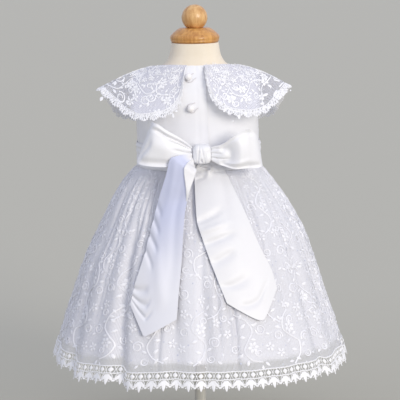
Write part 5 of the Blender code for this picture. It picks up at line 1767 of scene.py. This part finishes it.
class DRESS_OT_stage(bpy.types.Operator):
    """Adds the plain floor, the soft lights and the camera"""

    bl_idname = "baby_dress.stage"
    bl_label = "Stage, lights and camera"

    def execute(self, context):
        scene = context.scene
        paper = studio_floor("studio_paper_matt", tuple(scene.dress_colours.floor))
        corners = np.array([[-1, -1, 0], [1, -1, 0], [1, 1, 0], [-1, 1, 0]]) * FLOOR_HALF
        mesh = make_mesh("floor", corners, np.array([[0, 1, 2, 3]]), lift=0.0)
        mesh.materials.append(paper)
        floor = bpy.data.objects.new("floor", mesh)
        scene.collection.objects.link(floor)

        world = bpy.data.worlds.new("studio_air")
        world.use_nodes = True
        background = world.node_tree.nodes["Background"]
        background.inputs["Color"].default_value = (*linear("#D9DEF0"), 1.0)
        background.inputs["Strength"].default_value = 0.88
        scene.world = world

        self.sun("key", (74, 0, 33), 1.70, linear("#FFF8EC"), 26)
        self.sun("top", (25, 0, 20), 0.15, linear("#FFFDF8"), 40)
        scene.view_settings.view_transform = "Standard"

        pitch, distance = math.radians(CAMERA_PITCH), CAMERA_DISTANCE
        target_height = CAMERA_TARGET + FORM_LIFT
        camera = bpy.data.objects.new("camera", bpy.data.cameras.new("camera"))
        scene.collection.objects.link(camera)
        place = (0.0, -distance * math.cos(pitch), target_height + distance * math.sin(pitch))
        tilt = Matrix.Rotation(math.pi / 2 - pitch, 4, "X")
        roll = Matrix.Rotation(math.radians(CAMERA_ROLL), 4, "Z")
        camera.matrix_world = Matrix.Translation(place) @ (tilt @ roll)
        camera.data.sensor_width = SENSOR_WIDTH
        camera.data.lens = SENSOR_WIDTH * CAMERA_FOCUS
        camera.data.shift_x = CAMERA_SHIFT
        scene.camera = camera
        return {"FINISHED"}

    def sun(self, name, turn, strength, colour, spread):
        """A soft distant light, turned from straight down by angles in degrees."""
        data = bpy.data.lights.new(name, "SUN")
        data.energy = strength
        data.color = colour
        data.angle = math.radians(spread)
        lamp = bpy.data.objects.new(name, data)
        lamp.rotation_euler = [math.radians(part) for part in turn]
        bpy.context.scene.collection.objects.link(lamp)


class DRESS_PT_panel(bpy.types.Panel):
    """Lists the dress's sizes, colours and pieces"""

    bl_label = "Baby dress"
    bl_idname = "DRESS_PT_panel"
    bl_space_type = "VIEW_3D"
    bl_region_type = "UI"
    bl_category = "Dress"

    def draw(self, context):
        for group in (context.scene.dress_sizes, context.scene.dress_colours):
            for key in group.__annotations__:
                self.layout.prop(group, key)
        for operator in OPERATORS:
            self.layout.operator(operator.bl_idname)


OPERATORS = (
    DRESS_OT_form,
    DRESS_OT_bodice,
    DRESS_OT_buttons,
    DRESS_OT_skirt,
    DRESS_OT_hem_lace,
    DRESS_OT_collar,
    DRESS_OT_sash,
    DRESS_OT_bow,
    DRESS_OT_stage,
)


def register():
    """Registers the classes and gives the scene its sizes and colours."""
    for item in (DressSizes, DressColours, *OPERATORS, DRESS_PT_panel):
        bpy.utils.register_class(item)
    bpy.types.Scene.dress_sizes = bpy.props.PointerProperty(type=DressSizes)
    bpy.types.Scene.dress_colours = bpy.props.PointerProperty(type=DressColours)


def unregister():
    """Takes back all that register added."""
    del bpy.types.Scene.dress_colours
    del bpy.types.Scene.dress_sizes
    for item in reversed((DressSizes, DressColours, *OPERATORS, DRESS_PT_panel)):
        bpy.utils.unregister_class(item)


def main():
    """Builds everything in order."""
    register()
    bpy.ops.baby_dress.form()
    bpy.ops.baby_dress.bodice()
    bpy.ops.baby_dress.buttons()
    bpy.ops.baby_dress.skirt()
    bpy.ops.baby_dress.hem_lace()
    bpy.ops.baby_dress.collar()
    bpy.ops.baby_dress.sash()
    bpy.ops.baby_dress.bow()
    bpy.ops.baby_dress.stage()
    bpy.context.view_layer.update()


if __name__ == "__main__":
    main()
